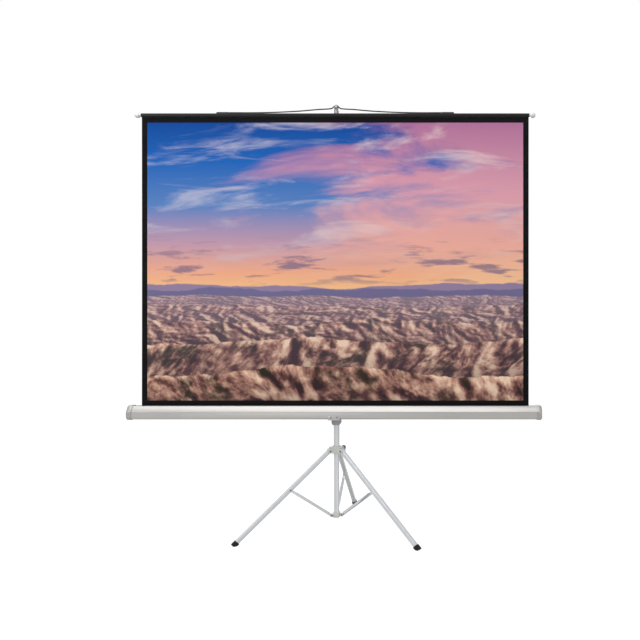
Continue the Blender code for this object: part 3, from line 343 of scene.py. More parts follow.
def lacquer(name, bead=None, coat=CLEAR_COAT):
    """Lacquered or anodised metal: drawn streaks along one axis, faint handling marks and a clear coat.

    bead gives the X and the half width of a ridge that runs up an upright tube: a small bump, with a painted
    highlight along it.
    """
    colour, metallic, shine, streak, streak_scale = METALS[name]
    g = Graph(name)
    place = g.place()
    streaks = g.noise(g.scaled(place, streak_scale), 60.0, 5.0, 0.62)
    clouds = g.noise(place, 5.0, 3.0, 0.5)
    marks = g.noise(g.scaled(place, (1.0, 1.0, 0.35)), 140.0, 6.0, 0.7, 0.6)
    dark = tuple(c * (1 - streak) for c in colour)
    light = tuple(min(c * (1 + streak), 1.0) for c in colour)
    tone = g.ramp(streaks, (0.3, dark), (0.7, light))
    aged = tuple(c * 0.86 for c in colour)
    tone = g.mix(g.range(clouds, 0.58, 0.78, 0.0, 0.35), tone, aged)
    rough = g.range(streaks, 0.2, 0.8, shine - 0.05, shine + 0.07)
    rough = g.math("ADD", rough, g.range(marks, 0.62, 0.75, 0.0, 0.16))
    height = streaks
    if bead:
        middle, half = bead
        off = g.math("ABSOLUTE", g.math("SUBTRACT", g.split(place)["X"], middle))
        ridge_and_highlight = g.range(off, half * 0.6, half, 1.0, 0.0, True)
        # The ridge's paler colour is a painted highlight
        tone = g.mix(g.math("MULTIPLY", ridge_and_highlight, BEAD_HIGHLIGHT_SHARE), tone, BEAD_HIGHLIGHT_COLOUR)
        height = g.math("ADD", g.math("MULTIPLY", ridge_and_highlight, 3.0), streaks)
    normal = g.bump(height, 0.10, 0.0003)
    return g.surface(tone, rough, normal, Metallic=metallic, Coat_Weight=coat, Coat_Roughness=0.12)


def moulded(name):
    """Moulded plastic: an even spark-eroded grain, slow tone changes and rubbed, shinier patches."""
    colour, shine = PLASTICS[name]
    g = Graph(name)
    place = g.place()
    fine = g.noise(place, 900.0, 3.0, 0.6)
    slow = g.noise(place, 18.0, 4.0, 0.55)
    tone = g.ramp(slow, (0.25, tuple(c * 0.85 for c in colour)), (0.75, colour))
    rubbed = g.range(g.noise(place, 55.0, 5.0, 0.65, 0.8), 0.60, 0.72, 0.0, -0.12)
    rough = g.math("ADD", g.range(fine, 0.3, 0.7, shine, shine + 0.08), rubbed)
    normal = g.bump(fine, 0.5, 0.00008)
    return g.surface(tone, rough, normal, Specular_IOR_Level=0.5)


def milky_plastic():
    """The translucent end pieces of the top bar."""
    g = Graph("milky_plastic")
    place = g.place()
    slow = g.noise(place, 30.0, 3.0, 0.5)
    tone = g.ramp(slow, (0.3, (0.72, 0.73, 0.72)), (0.7, (0.80, 0.80, 0.79)))
    rough = g.range(g.noise(place, 220.0, 4.0, 0.6), 0.3, 0.7, 0.22, 0.34)
    made = g.surface(tone, rough, Subsurface_Weight=0.35, Subsurface_Scale=0.004)
    g.shader.inputs["Subsurface Radius"].default_value = (1.0, 0.9, 0.8)
    return made


def rubber():
    g = Graph("moulded_rubber")
    place = g.place()
    fine = g.noise(place, 600.0, 5.0, 0.7)
    dust = g.range(g.noise(place, 60.0, 6.0, 0.6, 0.5), 0.50, 0.72)
    height = g.split(place)["Z"]
    low = g.range(height, 0.0, 0.022, 0.85, 0.0)
    grey = g.math("MULTIPLY", dust, low)
    tone = g.mix(grey, (0.007, 0.007, 0.008), (0.045, 0.043, 0.040))
    rough = g.range(fine, 0.3, 0.7, 0.58, 0.80)
    normal = g.bump(fine, 0.6, 0.0002)
    return g.surface(tone, rough, normal, Specular_IOR_Level=0.22)


def black_cloth():
    """Coated black cloth: a fine plain weave, faint roller marks and a soft sheen."""
    g = Graph("coated_black_cloth")
    place = g.place()
    warp = g.wave(place, 300.0, "X")
    weft = g.wave(place, 300.0, "Z")
    weave = g.math("MULTIPLY", warp, weft)
    slow = g.noise(g.scaled(place, (0.6, 1.0, 3.0)), 3.5, 4.0, 0.55)
    tone = g.ramp(slow, (0.3, (0.0035, 0.0035, 0.004)), (0.7, (0.0065, 0.0065, 0.007)))
    marks = g.range(g.wave(place, 2.4, "Z", 0.6), 0.96, 1.0, 0.0, 0.5)
    tone = g.mix(marks, tone, (0.010, 0.010, 0.011))
    rough = g.range(weave, 0.0, 1.0, 0.66, 0.82)
    normal = g.bump(weave, 0.35, 0.0002)
    return g.surface(tone, rough, normal, Specular_IOR_Level=0.06)


def braided_cord():
    """A braid of crossing strands, laid out along the cord's own length."""
    g = Graph("braided_cord")
    spread = g.split(g.place("UV"))
    run = g.math("MULTIPLY", spread["X"], BRAID_PER_METRE)
    turn = g.math("MULTIPLY", spread["Y"], BRAID_STARTS)
    one, two = g.math("ADD", run, turn), g.math("SUBTRACT", run, turn)
    rise = g.math("MAXIMUM", g.math("PINGPONG", one, 0.5), g.math("PINGPONG", two, 0.5))
    # Darker where the strands dip between crossings: painted shade between the strands
    tone = g.ramp(rise, (0.30, (0.004, 0.004, 0.004)), (0.50, (0.016, 0.016, 0.017)))
    normal = g.bump(rise, 0.9, 0.0006)
    return g.surface(tone, 0.72, normal, Specular_IOR_Level=0.25)


def hook_finish():
    """The hook's moulded plastic: off-white, with a paler translucent tip."""
    g = Graph("hook_finish")
    place = g.place()
    low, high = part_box("rod_hook")
    rise = g.range(g.split(place)["Z"], low.z + 0.55 * (high.z - low.z), high.z, 0.0, 1.0, True)
    slow = g.noise(place, 90.0, 4.0, 0.55)
    body = g.ramp(slow, (0.3, (0.50, 0.465, 0.45)), (0.7, (0.60, 0.565, 0.545)))
    tone = g.mix(rise, body, (0.43, 0.47, 0.42))
    rough = g.range(g.noise(place, 500.0, 4.0, 0.6), 0.3, 0.7, 0.32, 0.44)
    return g.surface(tone, rough, Subsurface_Weight=0.15, Subsurface_Scale=0.003)


def crest(g, across, up, seed, base, height, wander):
    """How far a point lies under a hill's skyline, which follows noise along the width."""
    line = g.noise(g.joined(across, seed, 0.0), wander, 7.0, 0.58)
    skyline = g.range(line, 0.25, 0.75, base - height, base + height)
    return g.math("SUBTRACT", skyline, up)


def gullies(g, across, up, seed, scale, lean, stretch):
    """Worn slopes: a noise folded into sharp gullies, lit from the upper right, and its height."""
    heights = []
    for shift in (0.0, 1.0):
        x = g.math("ADD", across, g.math("MULTIPLY", up, lean))
        x = g.math("SUBTRACT", x, shift * 0.10 / scale)
        y = g.math("SUBTRACT", g.math("MULTIPLY", up, stretch), shift * 0.06 / scale)
        fold = g.noise(g.joined(x, y, seed), scale, 9.0, 0.56, 0.25)
        heights.append(g.math("ABSOLUTE", g.math("SUBTRACT", fold, 0.5)))
    slope = g.math("MULTIPLY", g.math("SUBTRACT", heights[0], heights[1]), 7.0)
    return g.math("ADD", slope, 0.5), heights[0]


def landscape():
    """A generic evening view for the picture area: a blue and pink sky, far hills and worn brown slopes."""
    g = Graph("projected_landscape")
    spread = g.split(g.place("UV"))
    across = g.math("MULTIPLY", spread["X"], PICTURE_ASPECT)
    up = spread["Y"]

    sky = g.ramp(up, *SKY_STOPS)
    drift = g.joined(g.math("ADD", g.math("MULTIPLY", across, 0.9), g.math("MULTIPLY", up, -1.1)),
                     g.math("MULTIPLY", up, 3.2))
    haze = g.noise(drift, 1.5, 7.0, 0.60, 0.5)
    glow = g.math("ADD", haze, g.math("MULTIPLY", g.math("SUBTRACT", across, 0.62), 0.30))
    warm = g.ramp(up, *WARM_STOPS)
    sky = g.mix(g.range(glow, 0.46, 0.66, 0.0, 0.92, True), sky, warm)
    wisp_place = g.joined(g.math("ADD", g.math("MULTIPLY", across, 1.5), g.math("MULTIPLY", up, -1.4)),
                          g.math("MULTIPLY", up, 7.0))
    wisps = g.noise(wisp_place, 1.9, 9.0, 0.60, 0.6)
    bright = g.math("MULTIPLY", g.range(wisps, 0.50, 0.70, 0.0, 0.62, True), g.range(up, 0.42, 0.58))
    sky = g.mix(bright, sky, g.mix(glow, (0.42, 0.55, 0.74), (0.98, 0.66, 0.56)))
    bank_place = g.joined(g.math("MULTIPLY", across, 2.2), g.math("MULTIPLY", up, 14.0))
    banks = g.noise(bank_place, 2.1, 8.0, 0.58, 0.2)
    low_sky = g.math("MULTIPLY", g.range(up, 0.40, 0.45), g.range(up, 0.60, 0.50))
    sky = g.mix(g.math("MULTIPLY", g.range(banks, 0.54, 0.62, 0.0, 0.75), low_sky), sky, (0.17, 0.13, 0.24))

    view = sky
    for seed, base, height, wander, colour in HILLS:
        under = crest(g, across, up, seed, base, height, wander)
        view = g.mix(g.range(under, -0.002, 0.002), view, colour)

    for seed, base, height, wander, scale, lean, stretch, haze_share in SLOPES:
        light, height_map = gullies(g, across, up, seed, scale, lean, stretch)
        under = crest(g, across, up, seed, base, height, wander)
        rim = g.range(under, 0.0, 0.02, 0.14, 0.0)
        rock = g.ramp(g.math("ADD", light, rim), *ROCK_STOPS)
        patches = g.noise(g.joined(across, up, seed), 9.0, 6.0, 0.65)
        scrub = g.math("MULTIPLY", g.range(height_map, 0.10, 0.02), g.range(patches, 0.50, 0.60, 0.0, 0.85))
        rock = g.mix(scrub, rock, (0.022, 0.026, 0.014))
        rock = g.mix(haze_share, rock, (0.36, 0.27, 0.36))
        shade = g.range(under, 0.02, 0.13, 0.0, 0.45)
        rock = g.mix(shade, rock, (0.045, 0.026, 0.036))
        view = g.mix(g.range(under, -0.0015, 0.0015), view, rock)

    weave = g.noise(g.place(), 1800.0, 2.0, 0.5)
    rough = g.range(weave, 0.3, 0.7, 0.78, 0.90)
    normal = g.bump(weave, 0.25, 0.0001)
    return g.surface(view, rough, normal, Specular_IOR_Level=0.12)


# Mesh helpers


def new_piece(name, mesh, material):
    """A piece from a bmesh, shaded smooth except across sharp edges."""
    data = bpy.data.meshes.new(name)
    mesh.to_mesh(data)
    mesh.free()
    data.materials.append(material)
    data.shade_smooth()
    data.set_sharp_from_angle(angle=SMOOTH_ANGLE)
    piece = bpy.data.objects.new(name, data)
    bpy.context.scene.collection.objects.link(piece)
    return piece


def smooth_by_angle():
    """A modifier's node group that shades smooth across every edge flatter than the limit."""
    group = bpy.data.node_groups.new("smooth_by_angle", "GeometryNodeTree")
    group.interface.new_socket("Geometry", in_out="INPUT", socket_type="NodeSocketGeometry")
    group.interface.new_socket("Geometry", in_out="OUTPUT", socket_type="NodeSocketGeometry")
    start = group.nodes.new("NodeGroupInput")
    end = group.nodes.new("NodeGroupOutput")
    faces = group.nodes.new("GeometryNodeSetShadeSmooth")
    faces.domain = "FACE"
    faces.inputs["Shade Smooth"].default_value = True
    edges = group.nodes.new("GeometryNodeSetShadeSmooth")
    edges.domain = "EDGE"
    edges.inputs["Shade Smooth"].default_value = False
    angle = group.nodes.new("GeometryNodeInputMeshEdgeAngle")
    limit = group.nodes.new("FunctionNodeCompare")
    limit.operation = "GREATER_THAN"
    limit.inputs[1].default_value = SMOOTH_ANGLE
    link = group.links.new
    link(angle.outputs[0], limit.inputs[0])
    link(limit.outputs[0], edges.inputs["Selection"])
    link(start.outputs[0], faces.inputs["Geometry"])
    link(faces.outputs[0], edges.inputs["Geometry"])
    link(edges.outputs[0], end.inputs[0])
    return group


SMOOTH_GROUP = smooth_by_angle()


def dress(names, material, edge=EDGE_ROUND):
    """Gives CAD nodes their material, a fine rounding of their edges, and smooth shading."""
    for name in names:
        node = NODES[name]
        node.data.materials.clear()
        node.data.materials.append(material)
        finish_mesh(node, edge)


def apply_cut(piece, cutter, material=None):
    """Cuts the mesh out of a piece at once. The cut's own faces take the material, if one is given."""
    data = bpy.data.meshes.new("cutter")
    cutter.to_mesh(data)
    cutter.free()
    if material:
        data.materials.append(material)
    tool = bpy.data.objects.new("cutter", data)
    bpy.context.scene.collection.objects.link(tool)
    modifier = piece.modifiers.new("cut", "BOOLEAN")
    modifier.operation = "DIFFERENCE"
    modifier.material_mode = "TRANSFER"
    modifier.object = tool
    bpy.context.view_layer.update()
    graph = bpy.context.evaluated_depsgraph_get()
    final = bpy.data.meshes.new_from_object(piece.evaluated_get(graph))
    piece.modifiers.clear()
    piece.data = final
    bpy.data.objects.remove(tool)


def finish_mesh(piece, edge=EDGE_ROUND):
    """A fine rounding of a piece's edges, and smooth shading across what is flatter."""
    weld = piece.modifiers.new("weld", "WELD")
    weld.merge_threshold = WELD_REACH
    if edge:
        bevel = piece.modifiers.new("edge_round", "BEVEL")
        bevel.width = edge
        bevel.segments = 2
        bevel.limit_method = "ANGLE"
        bevel.angle_limit = SMOOTH_ANGLE
        bevel.use_clamp_overlap = True
    shade = piece.modifiers.new("smooth", "NODES")
    shade.node_group = SMOOTH_GROUP


def turned(profile, sides):
    """A solid of revolution about Z, from (radius, z) pairs, bottom to top."""
    mesh = bmesh.new()
    rings = []
    for radius, z in profile:
        turns = [2 * math.pi * i / sides for i in range(sides)]
        rings.append([mesh.verts.new((radius * math.cos(t), radius * math.sin(t), z)) for t in turns])
    for lower, upper in zip(rings, rings[1:]):
        for i in range(sides):
            j = (i + 1) % sides
            mesh.faces.new((lower[i], lower[j], upper[j], upper[i]))
    mesh.faces.new(reversed(rings[0]))
    mesh.faces.new(rings[-1])
    return mesh


def along(direction, origin=(0, 0, 0), up=Z_AXIS):
    """The matrix that carries local Z to a direction, and local Y towards up."""
    z = Vector(direction).normalized()
    y = (Vector(up) - z * z.dot(Vector(up))).normalized()
    turn = Matrix((y.cross(z), y, z)).transposed().to_4x4()
    return Matrix.Translation(origin) @ turn


def moved(mesh, matrix):
    bmesh.ops.transform(mesh, matrix=matrix, verts=mesh.verts)
    return mesh


# The cloth and its picture


def sheet_grid(low, high, y, thickness, bow):
    """A thin sheet in X and Z, front and back, whose depth follows bow(x, z). Its UVs span the front."""
    mesh = bmesh.new()
    layer_uv = mesh.loops.layers.uv.new("spread")
    sides = []
    for offset in (-thickness / 2, thickness / 2):
        rows = []
        for r in range(SHEET_ROWS + 1):
            z = low.z + (high.z - low.z) * r / SHEET_ROWS
            row = []
            for c in range(SHEET_COLUMNS + 1):
                x = low.x + (high.x - low.x) * c / SHEET_COLUMNS
                row.append(mesh.verts.new((x, y + offset + bow(x, z), z)))
            rows.append(row)
        sides.append(rows)
    front, back = sides
    for r in range(SHEET_ROWS):
        for c in range(SHEET_COLUMNS):
            mesh.faces.new((front[r][c], front[r][c + 1], front[r + 1][c + 1], front[r + 1][c]))
            mesh.faces.new((back[r][c + 1], back[r][c], back[r + 1][c], back[r + 1][c + 1]))
    for r in range(SHEET_ROWS):
        mesh.faces.new((back[r][0], front[r][0], front[r + 1][0], back[r + 1][0]))
        mesh.faces.new((front[r][-1], back[r][-1], back[r + 1][-1], front[r + 1][-1]))
    for c in range(SHEET_COLUMNS):
        mesh.faces.new((front[0][c + 1], front[0][c], back[0][c], back[0][c + 1]))
        mesh.faces.new((front[-1][c], front[-1][c + 1], back[-1][c + 1], back[-1][c]))
    for face in mesh.faces:
        for loop in face.loops:
            u = (loop.vert.co.x - low.x) / (high.x - low.x)
            v = (loop.vert.co.z - low.z) / (high.z - low.z)
            loop[layer_uv].uv = (u, v)
    return mesh


def build_screen(cloth_material, picture_material):
    low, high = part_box("screen_cloth")
    face_low, face_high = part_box("white_face")
    middle = (low.y + high.y) / 2
    half = (high.x - low.x) / 2
    tall = high.z - low.z

    def bow(x, z):
        """The cloth is held flat at both ends, bows a little between, and its free edges curl back."""
        held = math.sin(math.pi * (z - low.z) / tall)
        ripple = 0.6 * math.sin(2.3 * x + 1.1) + 0.4 * math.sin(4.9 * x - 0.7)
        edge = max(0.0, 1.0 - (half - abs(x)) / EDGE_WIDTH)
        return held * (WAVE_DEPTH * ripple + EDGE_CURL * edge * edge)

    cloth = sheet_grid(low, high, middle, CLOTH_THICKNESS, bow)
    cloth = new_piece("cloth_sheet", cloth, cloth_material)
    face_y = middle - CLOTH_THICKNESS / 2 - FACE_GAP - FACE_THICKNESS / 2
    picture = sheet_grid(face_low, face_high, face_y, FACE_THICKNESS, bow)
    picture = new_piece("picture_face", picture, picture_material)
    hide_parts("screen_cloth")
    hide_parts("white_face")
    keep = (tall - LIFT_TRAVEL) / tall
    rolled_low, rolled_high = low.z + ROLLER_CLEAR, low.z + keep * tall - BAR_CLEAR
    picture_keep = (rolled_high - rolled_low) / (face_high.z - face_low.z)
    picture_anchor = (rolled_low - picture_keep * face_low.z) / (1 - picture_keep)
    for piece, anchor, share in ((cloth, low.z, keep), (picture, picture_anchor, picture_keep)):
        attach(piece, "case")
        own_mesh(piece)


# The hanger cord


def cord_route():
    """The cord's centreline from clip to clip over the hook, by the same points as its solid."""
    _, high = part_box("hanger_cord")
    clip_low, clip_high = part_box("cord_clip_right")
    bar_y = (clip_low.y + clip_high.y) / 2
    apex_y = high.y - CORD_SOLID_RADIUS
    apex_z = high.z - 2 * CORD_SOLID_RADIUS + CORD_RADIUS
    reach = clip_low.x
    drop = apex_z - (clip_low.z + clip_high.z) / 2
    # One half of the route, as the distance from the middle and the share of the drop
    half = (
        (0.0, 0.0), (CORD_PRONG * 0.65, 0.004), (CORD_PRONG * 1.1, 0.13), (CORD_PRONG * 1.8, 0.29),
        (reach * 0.17, 0.43), (reach * 0.34, 0.66), (reach * 0.50, 0.81), (reach * 0.66, 0.92),
        (reach * 0.84, 0.985), (reach * CORD_LEVEL, 1.0), (reach - CORD_END_GAP, 1.0),
    )
    both = [(-x, fall) for x, fall in reversed(half[1:])] + list(half)
    knots = []
    for x, fall in both:
        share = min(abs(x) / (reach * CORD_LEVEL), 1.0)
        knots.append(Vector((x, apex_y + (bar_y - apex_y) * share, apex_z - fall * drop)))
    points = [knots[0]]
    for i in range(len(knots) - 1):
        before, after = knots[max(i - 1, 0)], knots[min(i + 2, len(knots) - 1)]
        start, end = knots[i], knots[i + 1]
        span = (end - start).length
        slope_in = (end - before).normalized() * span
        slope_out = (after - start).normalized() * span
        for step in range(1, CORD_STEPS + 1):
            t = step / CORD_STEPS
            point = start.lerp(end, t * t * (3 - 2 * t))
            point += slope_in * (t - 2 * t * t + t * t * t) + slope_out * (t * t * t - t * t)
            points.append(point)
    return points


def tube_mesh(points, radius, sides):
    """A round tube along points, with UVs: the length in metres across, and the turn up."""
    mesh = bmesh.new()
    layer_uv = mesh.loops.layers.uv.new("spread")
    rings, lengths, run = [], [], 0.0
    for i, point in enumerate(points):
        if i:
            run += (point - points[i - 1]).length
        lengths.append(run)
        ahead = points[min(i + 1, len(points) - 1)] - points[max(i - 1, 0)]
        place = along(ahead, point)
        turns = [2 * math.pi * k / sides for k in range(sides)]
        ring = [place @ Vector((radius * math.cos(t), radius * math.sin(t), 0)) for t in turns]
        rings.append([mesh.verts.new(corner) for corner in ring])
    for i in range(len(rings) - 1):
        for k in range(sides):
            j = (k + 1) % sides
            face = mesh.faces.new((rings[i][k], rings[i][j], rings[i + 1][j], rings[i + 1][k]))
            spans = ((lengths[i], k), (lengths[i], k + 1), (lengths[i + 1], k + 1), (lengths[i + 1], k))
            for loop, (u, v) in zip(face.loops, spans):
                loop[layer_uv].uv = (u, v / sides)
    mesh.faces.new(reversed(rings[0]))
    mesh.faces.new(rings[-1])
    return mesh


def build_cord(material):
    points = cord_route()
    cord = new_piece("cord_braid", tube_mesh(points, CORD_RADIUS, CORD_SIDES), material)
    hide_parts("hanger_cord")
    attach(cord, "screen")
    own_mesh(cord)


# Hook


def build_hook(material, dark):
    """The hook with the two upright slots in its front, cut from the solid's own form. The slots' walls take
    the dark material as painted shade.
    """
    node = NODES["rod_hook"]
    low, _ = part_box("rod_hook")
    rod_low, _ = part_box("extension_rod")
    hook = bpy.data.objects.new("hook_body", node.data.copy())
    bpy.context.scene.collection.objects.link(hook)
    hook.data.materials.clear()
    hook.data.materials.append(material)
    face = rod_low.y - HOOK_CAP_WALL
    top = low.z + HOOK_SLOT_TOP
    for side in (-1, 1):
        cutter = bmesh.new()
        bmesh.ops.create_cube(cutter, size=1.0)
        size = (HOOK_SLOT_WIDTH, 2 * HOOK_SLOT_DEPTH, 2 * HOOK_SLOT_TOP)
        bmesh.ops.scale(cutter, vec=size, verts=cutter.verts)
        lean = Matrix.Rotation(side * HOOK_SLOT_LEAN, 4, "Y")
        place = Matrix.Translation((side * HOOK_SLOT_SPACING / 2, face, top - HOOK_SLOT_TOP))
        # The cut walls take the black plastic: painted shade inside the slots
        apply_cut(hook, moved(cutter, place @ lean), dark)
    finish_mesh(hook)
    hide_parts("rod_hook")
    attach(hook, "rod")


# Braces and feet


def leg_directions(side):
    """A leg's side direction, towards its brace's strip, and its outward direction, both level."""
    lateral = Vector(JOINTS[f"leg_{side}_fold"]["axis"]).normalized()
    return lateral, Vector((lateral.y, -lateral.x, 0.0))


def middle_of(node):
    low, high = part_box(node)
    return (low + high) / 2


def slab(mesh, outline, place, low, high):
    """A plate added to a mesh: a (u, v) outline between two levels, set in space by place(u, v, level)."""
    rings = [[mesh.verts.new(place(u, v, level)) for u, v in outline] for level in (low, high)]
    for i in range(len(outline)):
        j = (i + 1) % len(outline)
        mesh.faces.new((rings[0][i], rings[0][j], rings[1][j], rings[1][i]))
    mesh.faces.new(reversed(rings[0]))
    mesh.faces.new(rings[1])


def build_flange(side, material):
    """The brace's folded flange and lip, on the strip's inner edge, cut back from the collar and the leg."""
    lateral, outward = leg_directions(side)
    pivot = Vector(JOINTS[f"brace_{side}_fold"]["pos_m"])
    reach = middle_of(f"{side}_rivet") - pivot
    run = outward * reach.dot(outward) + Z_AXIS * reach.z
    length = run.length
    along_brace = run.normalized()
    inward = along_brace.cross(lateral)
    near, far = BRACE_OUTER - FLANGE_REACH, BRACE_OUTER
    root, top = BRACE_HALF_WIDTH - FLANGE_LAP, BRACE_HALF_WIDTH + FLANGE_THICK
    plate = (
        (far, FLANGE_START), (far, length - FLANGE_STOP), (near + FLANGE_CHAMFER, length - FLANGE_STOP),
        (near, length - FLANGE_STOP - FLANGE_CHAMFER), (near, FLANGE_START + FLANGE_CHAMFER),
        (near + FLANGE_CHAMFER, FLANGE_START),
    )
    lip_stop = length - LIP_STOP
    lip = (
        (top, LIP_START), (top, lip_stop), (top - LIP_END, lip_stop),
        (top - LIP_DEPTH, lip_stop - LIP_TAPER), (top - LIP_DEPTH, LIP_START + FLANGE_CHAMFER),
    )
    lip_levels = (near, near + FLANGE_THICK)
    mesh = bmesh.new()
    slab(mesh, plate, lambda u, v, w: pivot + lateral * u + along_brace * v + inward * w, root, top)
    slab(mesh, lip, lambda u, v, w: pivot + inward * u + along_brace * v + lateral * w, *lip_levels)
    bmesh.ops.recalc_face_normals(mesh, faces=mesh.faces)
    flange = new_piece(f"{side}_brace_flange", mesh, material)
    finish_mesh(flange)
    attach(flange, f"brace_{side}")


def build_foot(side, material):
    """A rubber foot, slimmer than its solid, and the front two shorter. Its place on the floor stays."""
    node = NODES[f"{side}_foot"]
    foot = bpy.data.objects.new(f"{side}_foot_rubber", node.data.copy())
    bpy.context.scene.collection.objects.link(foot)
    foot.data.materials.clear()
    foot.data.materials.append(material)
    up_leg = (Vector(JOINTS[f"leg_{side}_fold"]["pos_m"]) - middle_of(f"{side}_foot")).normalized()
    on_floor = [v.co for v in foot.data.vertices if v.co.z < FLOOR_BAND]
    centre = sum(on_floor, Vector()) / len(on_floor)
    for vertex in foot.data.vertices:
        climb = vertex.co.z / up_leg.z
        ground = vertex.co - up_leg * climb
        vertex.co = centre + (ground - centre) * FOOT_SLIM + up_leg * climb * FOOT_SHORT[side]
    finish_mesh(foot, PLASTIC_EDGE)
    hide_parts(f"{side}_foot")
    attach(foot, f"leg_{side}")


# Screws


def cross_screw(name, node, body, material):
    """A pan head screw with a cross recess, in the place of a plain head that faces -Y."""
    low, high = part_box(node)
    radius = (high.x - low.x) / 2
    tall = high.y - low.y
    dome = []
    for i in range(SCREW_STEPS + 1):
        turn = math.pi / 2 * i / SCREW_STEPS
        out, up = (SCREW_FLAT + (1 - SCREW_FLAT) * part for part in (math.cos(turn), math.sin(turn)))
        dome.append((radius * out, tall * up))
    mesh = turned([(radius, 0.0), *dome], SCREW_SIDES)
    place = along(-Y_AXIS, ((low.x + high.x) / 2, high.y, (low.z + high.z) / 2))
    head = new_piece(name, moved(mesh, place), material)
    slot_length = radius * RECESS_LENGTH
    slot_width = radius * RECESS_WIDTH
    for wide, high_part in ((slot_length, slot_width), (slot_width, slot_length)):
        cutter = bmesh.new()
        bmesh.ops.create_cube(cutter, size=1.0)
        bmesh.ops.scale(cutter, vec=(wide, high_part, tall), verts=cutter.verts)
        bmesh.ops.translate(cutter, vec=(0, 0, tall), verts=cutter.verts)
        apply_cut(head, moved(cutter, place))
    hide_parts(node)
    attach(head, body)


# Stage, lights and camera


def seen_directly(tree):
    """A factor that is 1 for camera, glossy and transmission rays."""
    path = tree.nodes.new("ShaderNodeLightPath")
    factor = path.outputs["Is Camera Ray"]
    for name in ("Is Glossy Ray", "Is Transmission Ray"):
        either = tree.nodes.new("ShaderNodeMath")
        either.operation = "MAXIMUM"
        tree.links.new(factor, either.inputs[0])
        tree.links.new(path.outputs[name], either.inputs[1])
        factor = either.outputs[0]
    return factor


def floor_material():
    """A pale matt floor that reads as white where it is seen directly, and keeps the object's shadow."""
    material = bpy.data.materials.new("pale_floor")
    material.use_nodes = True
    tree = material.node_tree
    tree.nodes.clear()
    diffuse = tree.nodes.new("ShaderNodeBsdfDiffuse")
    diffuse.inputs["Color"].default_value = (FLOOR_TONE, FLOOR_TONE, FLOOR_TONE, 1.0)
    strength = tree.nodes.new("ShaderNodeMath")
    strength.operation = "MULTIPLY"
    tree.links.new(seen_directly(tree), strength.inputs[0])
    strength.inputs[1].default_value = FLOOR_GLOW
    glow = tree.nodes.new("ShaderNodeEmission")
    tree.links.new(strength.outputs[0], glow.inputs["Strength"])
    both = tree.nodes.new("ShaderNodeAddShader")
    tree.links.new(diffuse.outputs[0], both.inputs[0])
    tree.links.new(glow.outputs[0], both.inputs[1])
    output = tree.nodes.new("ShaderNodeOutputMaterial")
    tree.links.new(both.outputs[0], output.inputs["Surface"])
    return material


def build_stage():
    floor_mesh = bmesh.new()
    bmesh.ops.create_grid(floor_mesh, x_segments=1, y_segments=1, size=FLOOR_HALF)
    new_piece("floor", floor_mesh, floor_material())

    world = bpy.data.worlds.new("studio")
    bpy.context.scene.world = world
    world.use_nodes = True
    tree = world.node_tree
    tree.nodes.clear()
    mixed = tree.nodes.new("ShaderNodeMixShader")
    tree.links.new(seen_directly(tree), mixed.inputs[0])
    for index, level in ((1, WORLD_LIGHT), (2, 1.0)):
        plain = tree.nodes.new("ShaderNodeBackground")
        plain.inputs["Strength"].default_value = level
        plain.inputs["Color"].default_value = (1.0, 1.0, 1.0, 1.0)
        tree.links.new(plain.outputs[0], mixed.inputs[index])
    output = tree.nodes.new("ShaderNodeOutputWorld")
    tree.links.new(mixed.outputs[0], output.inputs["Surface"])


def softbox(name, place, target, size, power):
    light = bpy.data.lights.new(name, "AREA")
    light.shape = "RECTANGLE"
    light.size, light.size_y = size
    light.energy = power
    lamp = bpy.data.objects.new(name, light)
    lamp.matrix_world = along(Vector(place) - Vector(target), place, Z_AXIS + Y_AXIS * 0.001)
    bpy.context.scene.collection.objects.link(lamp)


def build_lights():
    for name, (place, target, size, power) in LAMPS.items():
        softbox(name, place, target, size, power)


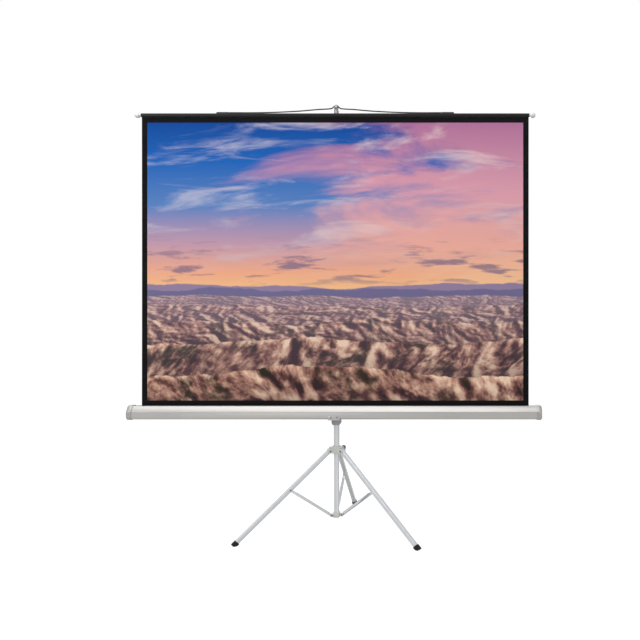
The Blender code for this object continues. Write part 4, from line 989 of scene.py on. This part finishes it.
def build_camera():
    mast_low, mast_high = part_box("mast_tube")
    mast_y = (mast_low.y + mast_high.y) / 2
    data = bpy.data.cameras.new("camera")
    data.sensor_fit = "HORIZONTAL"
    data.sensor_width = SENSOR_WIDTH
    data.lens = SENSOR_WIDTH * CAMERA_DISTANCE / (FRAME_PIXELS * METRES_PER_PIXEL)
    data.shift_x = -(VANISHING_COLUMN - FRAME_PIXELS / 2) / FRAME_PIXELS
    camera = bpy.data.objects.new("camera", data)
    x = (VANISHING_COLUMN - MAST_COLUMN) * METRES_PER_PIXEL
    camera.location = (x, mast_y - CAMERA_DISTANCE, CAMERA_HEIGHT)
    camera.rotation_euler = (math.pi / 2, 0.0, 0.0)
    bpy.context.scene.collection.objects.link(camera)
    bpy.context.scene.camera = camera


def dress_nodes():
    sides = ("back", "left", "right")
    # The braces' lacquer is paler than the tubes': partly painted light against the flange's shade
    strip = lacquer("strip_lacquer_painted_light")
    cap = lacquer("cap_lacquer")
    zinc = lacquer("zinc_plate")
    dark_zinc = lacquer("dark_zinc_plate")
    grey = moulded("grey_plastic_finish")
    black = moulded("black_plastic_finish")
    foot = rubber()

    # The mast's tubes take the lacquer with the painted highlight along the ridge
    mast = lacquer("mast_lacquer_painted_highlight", (BEAD_X, BEAD_HALF))
    dress(["mast_tube", "lower_tube", "extension_rod"], mast, 0.0)
    dress(["left_leg", "right_leg"], lacquer("tube_lacquer"), 0.0)
    # The back leg takes the darker copy of the tube lacquer: painted shade
    dress(["back_leg"], lacquer("back_leg_painted_shade"), 0.0)
    dress([f"{s}_brace" for s in sides], strip, THIN_EDGE)
    dress(["leg_hub", "lower_collar"], moulded("hub_plastic"), MOULDED_EDGE)
    dress(["case_shell"], lacquer("case_lacquer"), 0.0)
    dress(["case_cap_left", "case_cap_right"], cap, MOULDED_EDGE)
    dress(["case_saddle"], lacquer("saddle_paint"))
    dress(["mast_top_collar", "carrier_sleeve"], grey, PLASTIC_EDGE)
    # The black plastic also goes on the hook's slot walls, as painted shade
    build_hook(hook_finish(), black)
    dress(["rod_bush"], black, THIN_EDGE)
    dress(["hub_knob", "carrier_knob", "rod_knob"], moulded("knob_finish"), THIN_EDGE)
    dress(["roller_plug_left", "roller_plug_right", "cord_clip_left", "cord_clip_right"], black, 0.0)
    dress(["roller_tube"], lacquer("roller_metal"), 0.0)
    dress(["roller_spring", "spring_dowel"], zinc, 0.0)
    for s in sides:
        dress([f"{s}_leg_pin", f"{s}_brace_pin", f"{s}_rivet"], dark_zinc, PIN_EDGE)
        build_flange(s, strip)
        build_foot(s, foot)
    dress(["top_bar"], lacquer("bar_anodised", coat=0.0), 0.0)
    dress(["bar_end_left", "bar_end_right"], milky_plastic())
    for s in ("left", "right"):
        cross_screw(f"screw_head_{s}", f"saddle_screw_{s}", "case", dark_zinc)


build_camera()
build_cord(braided_cord())
build_screen(black_cloth(), landscape())
dress_nodes()
build_stage()
build_lights()
bpy.context.scene.view_settings.view_transform = "Standard"
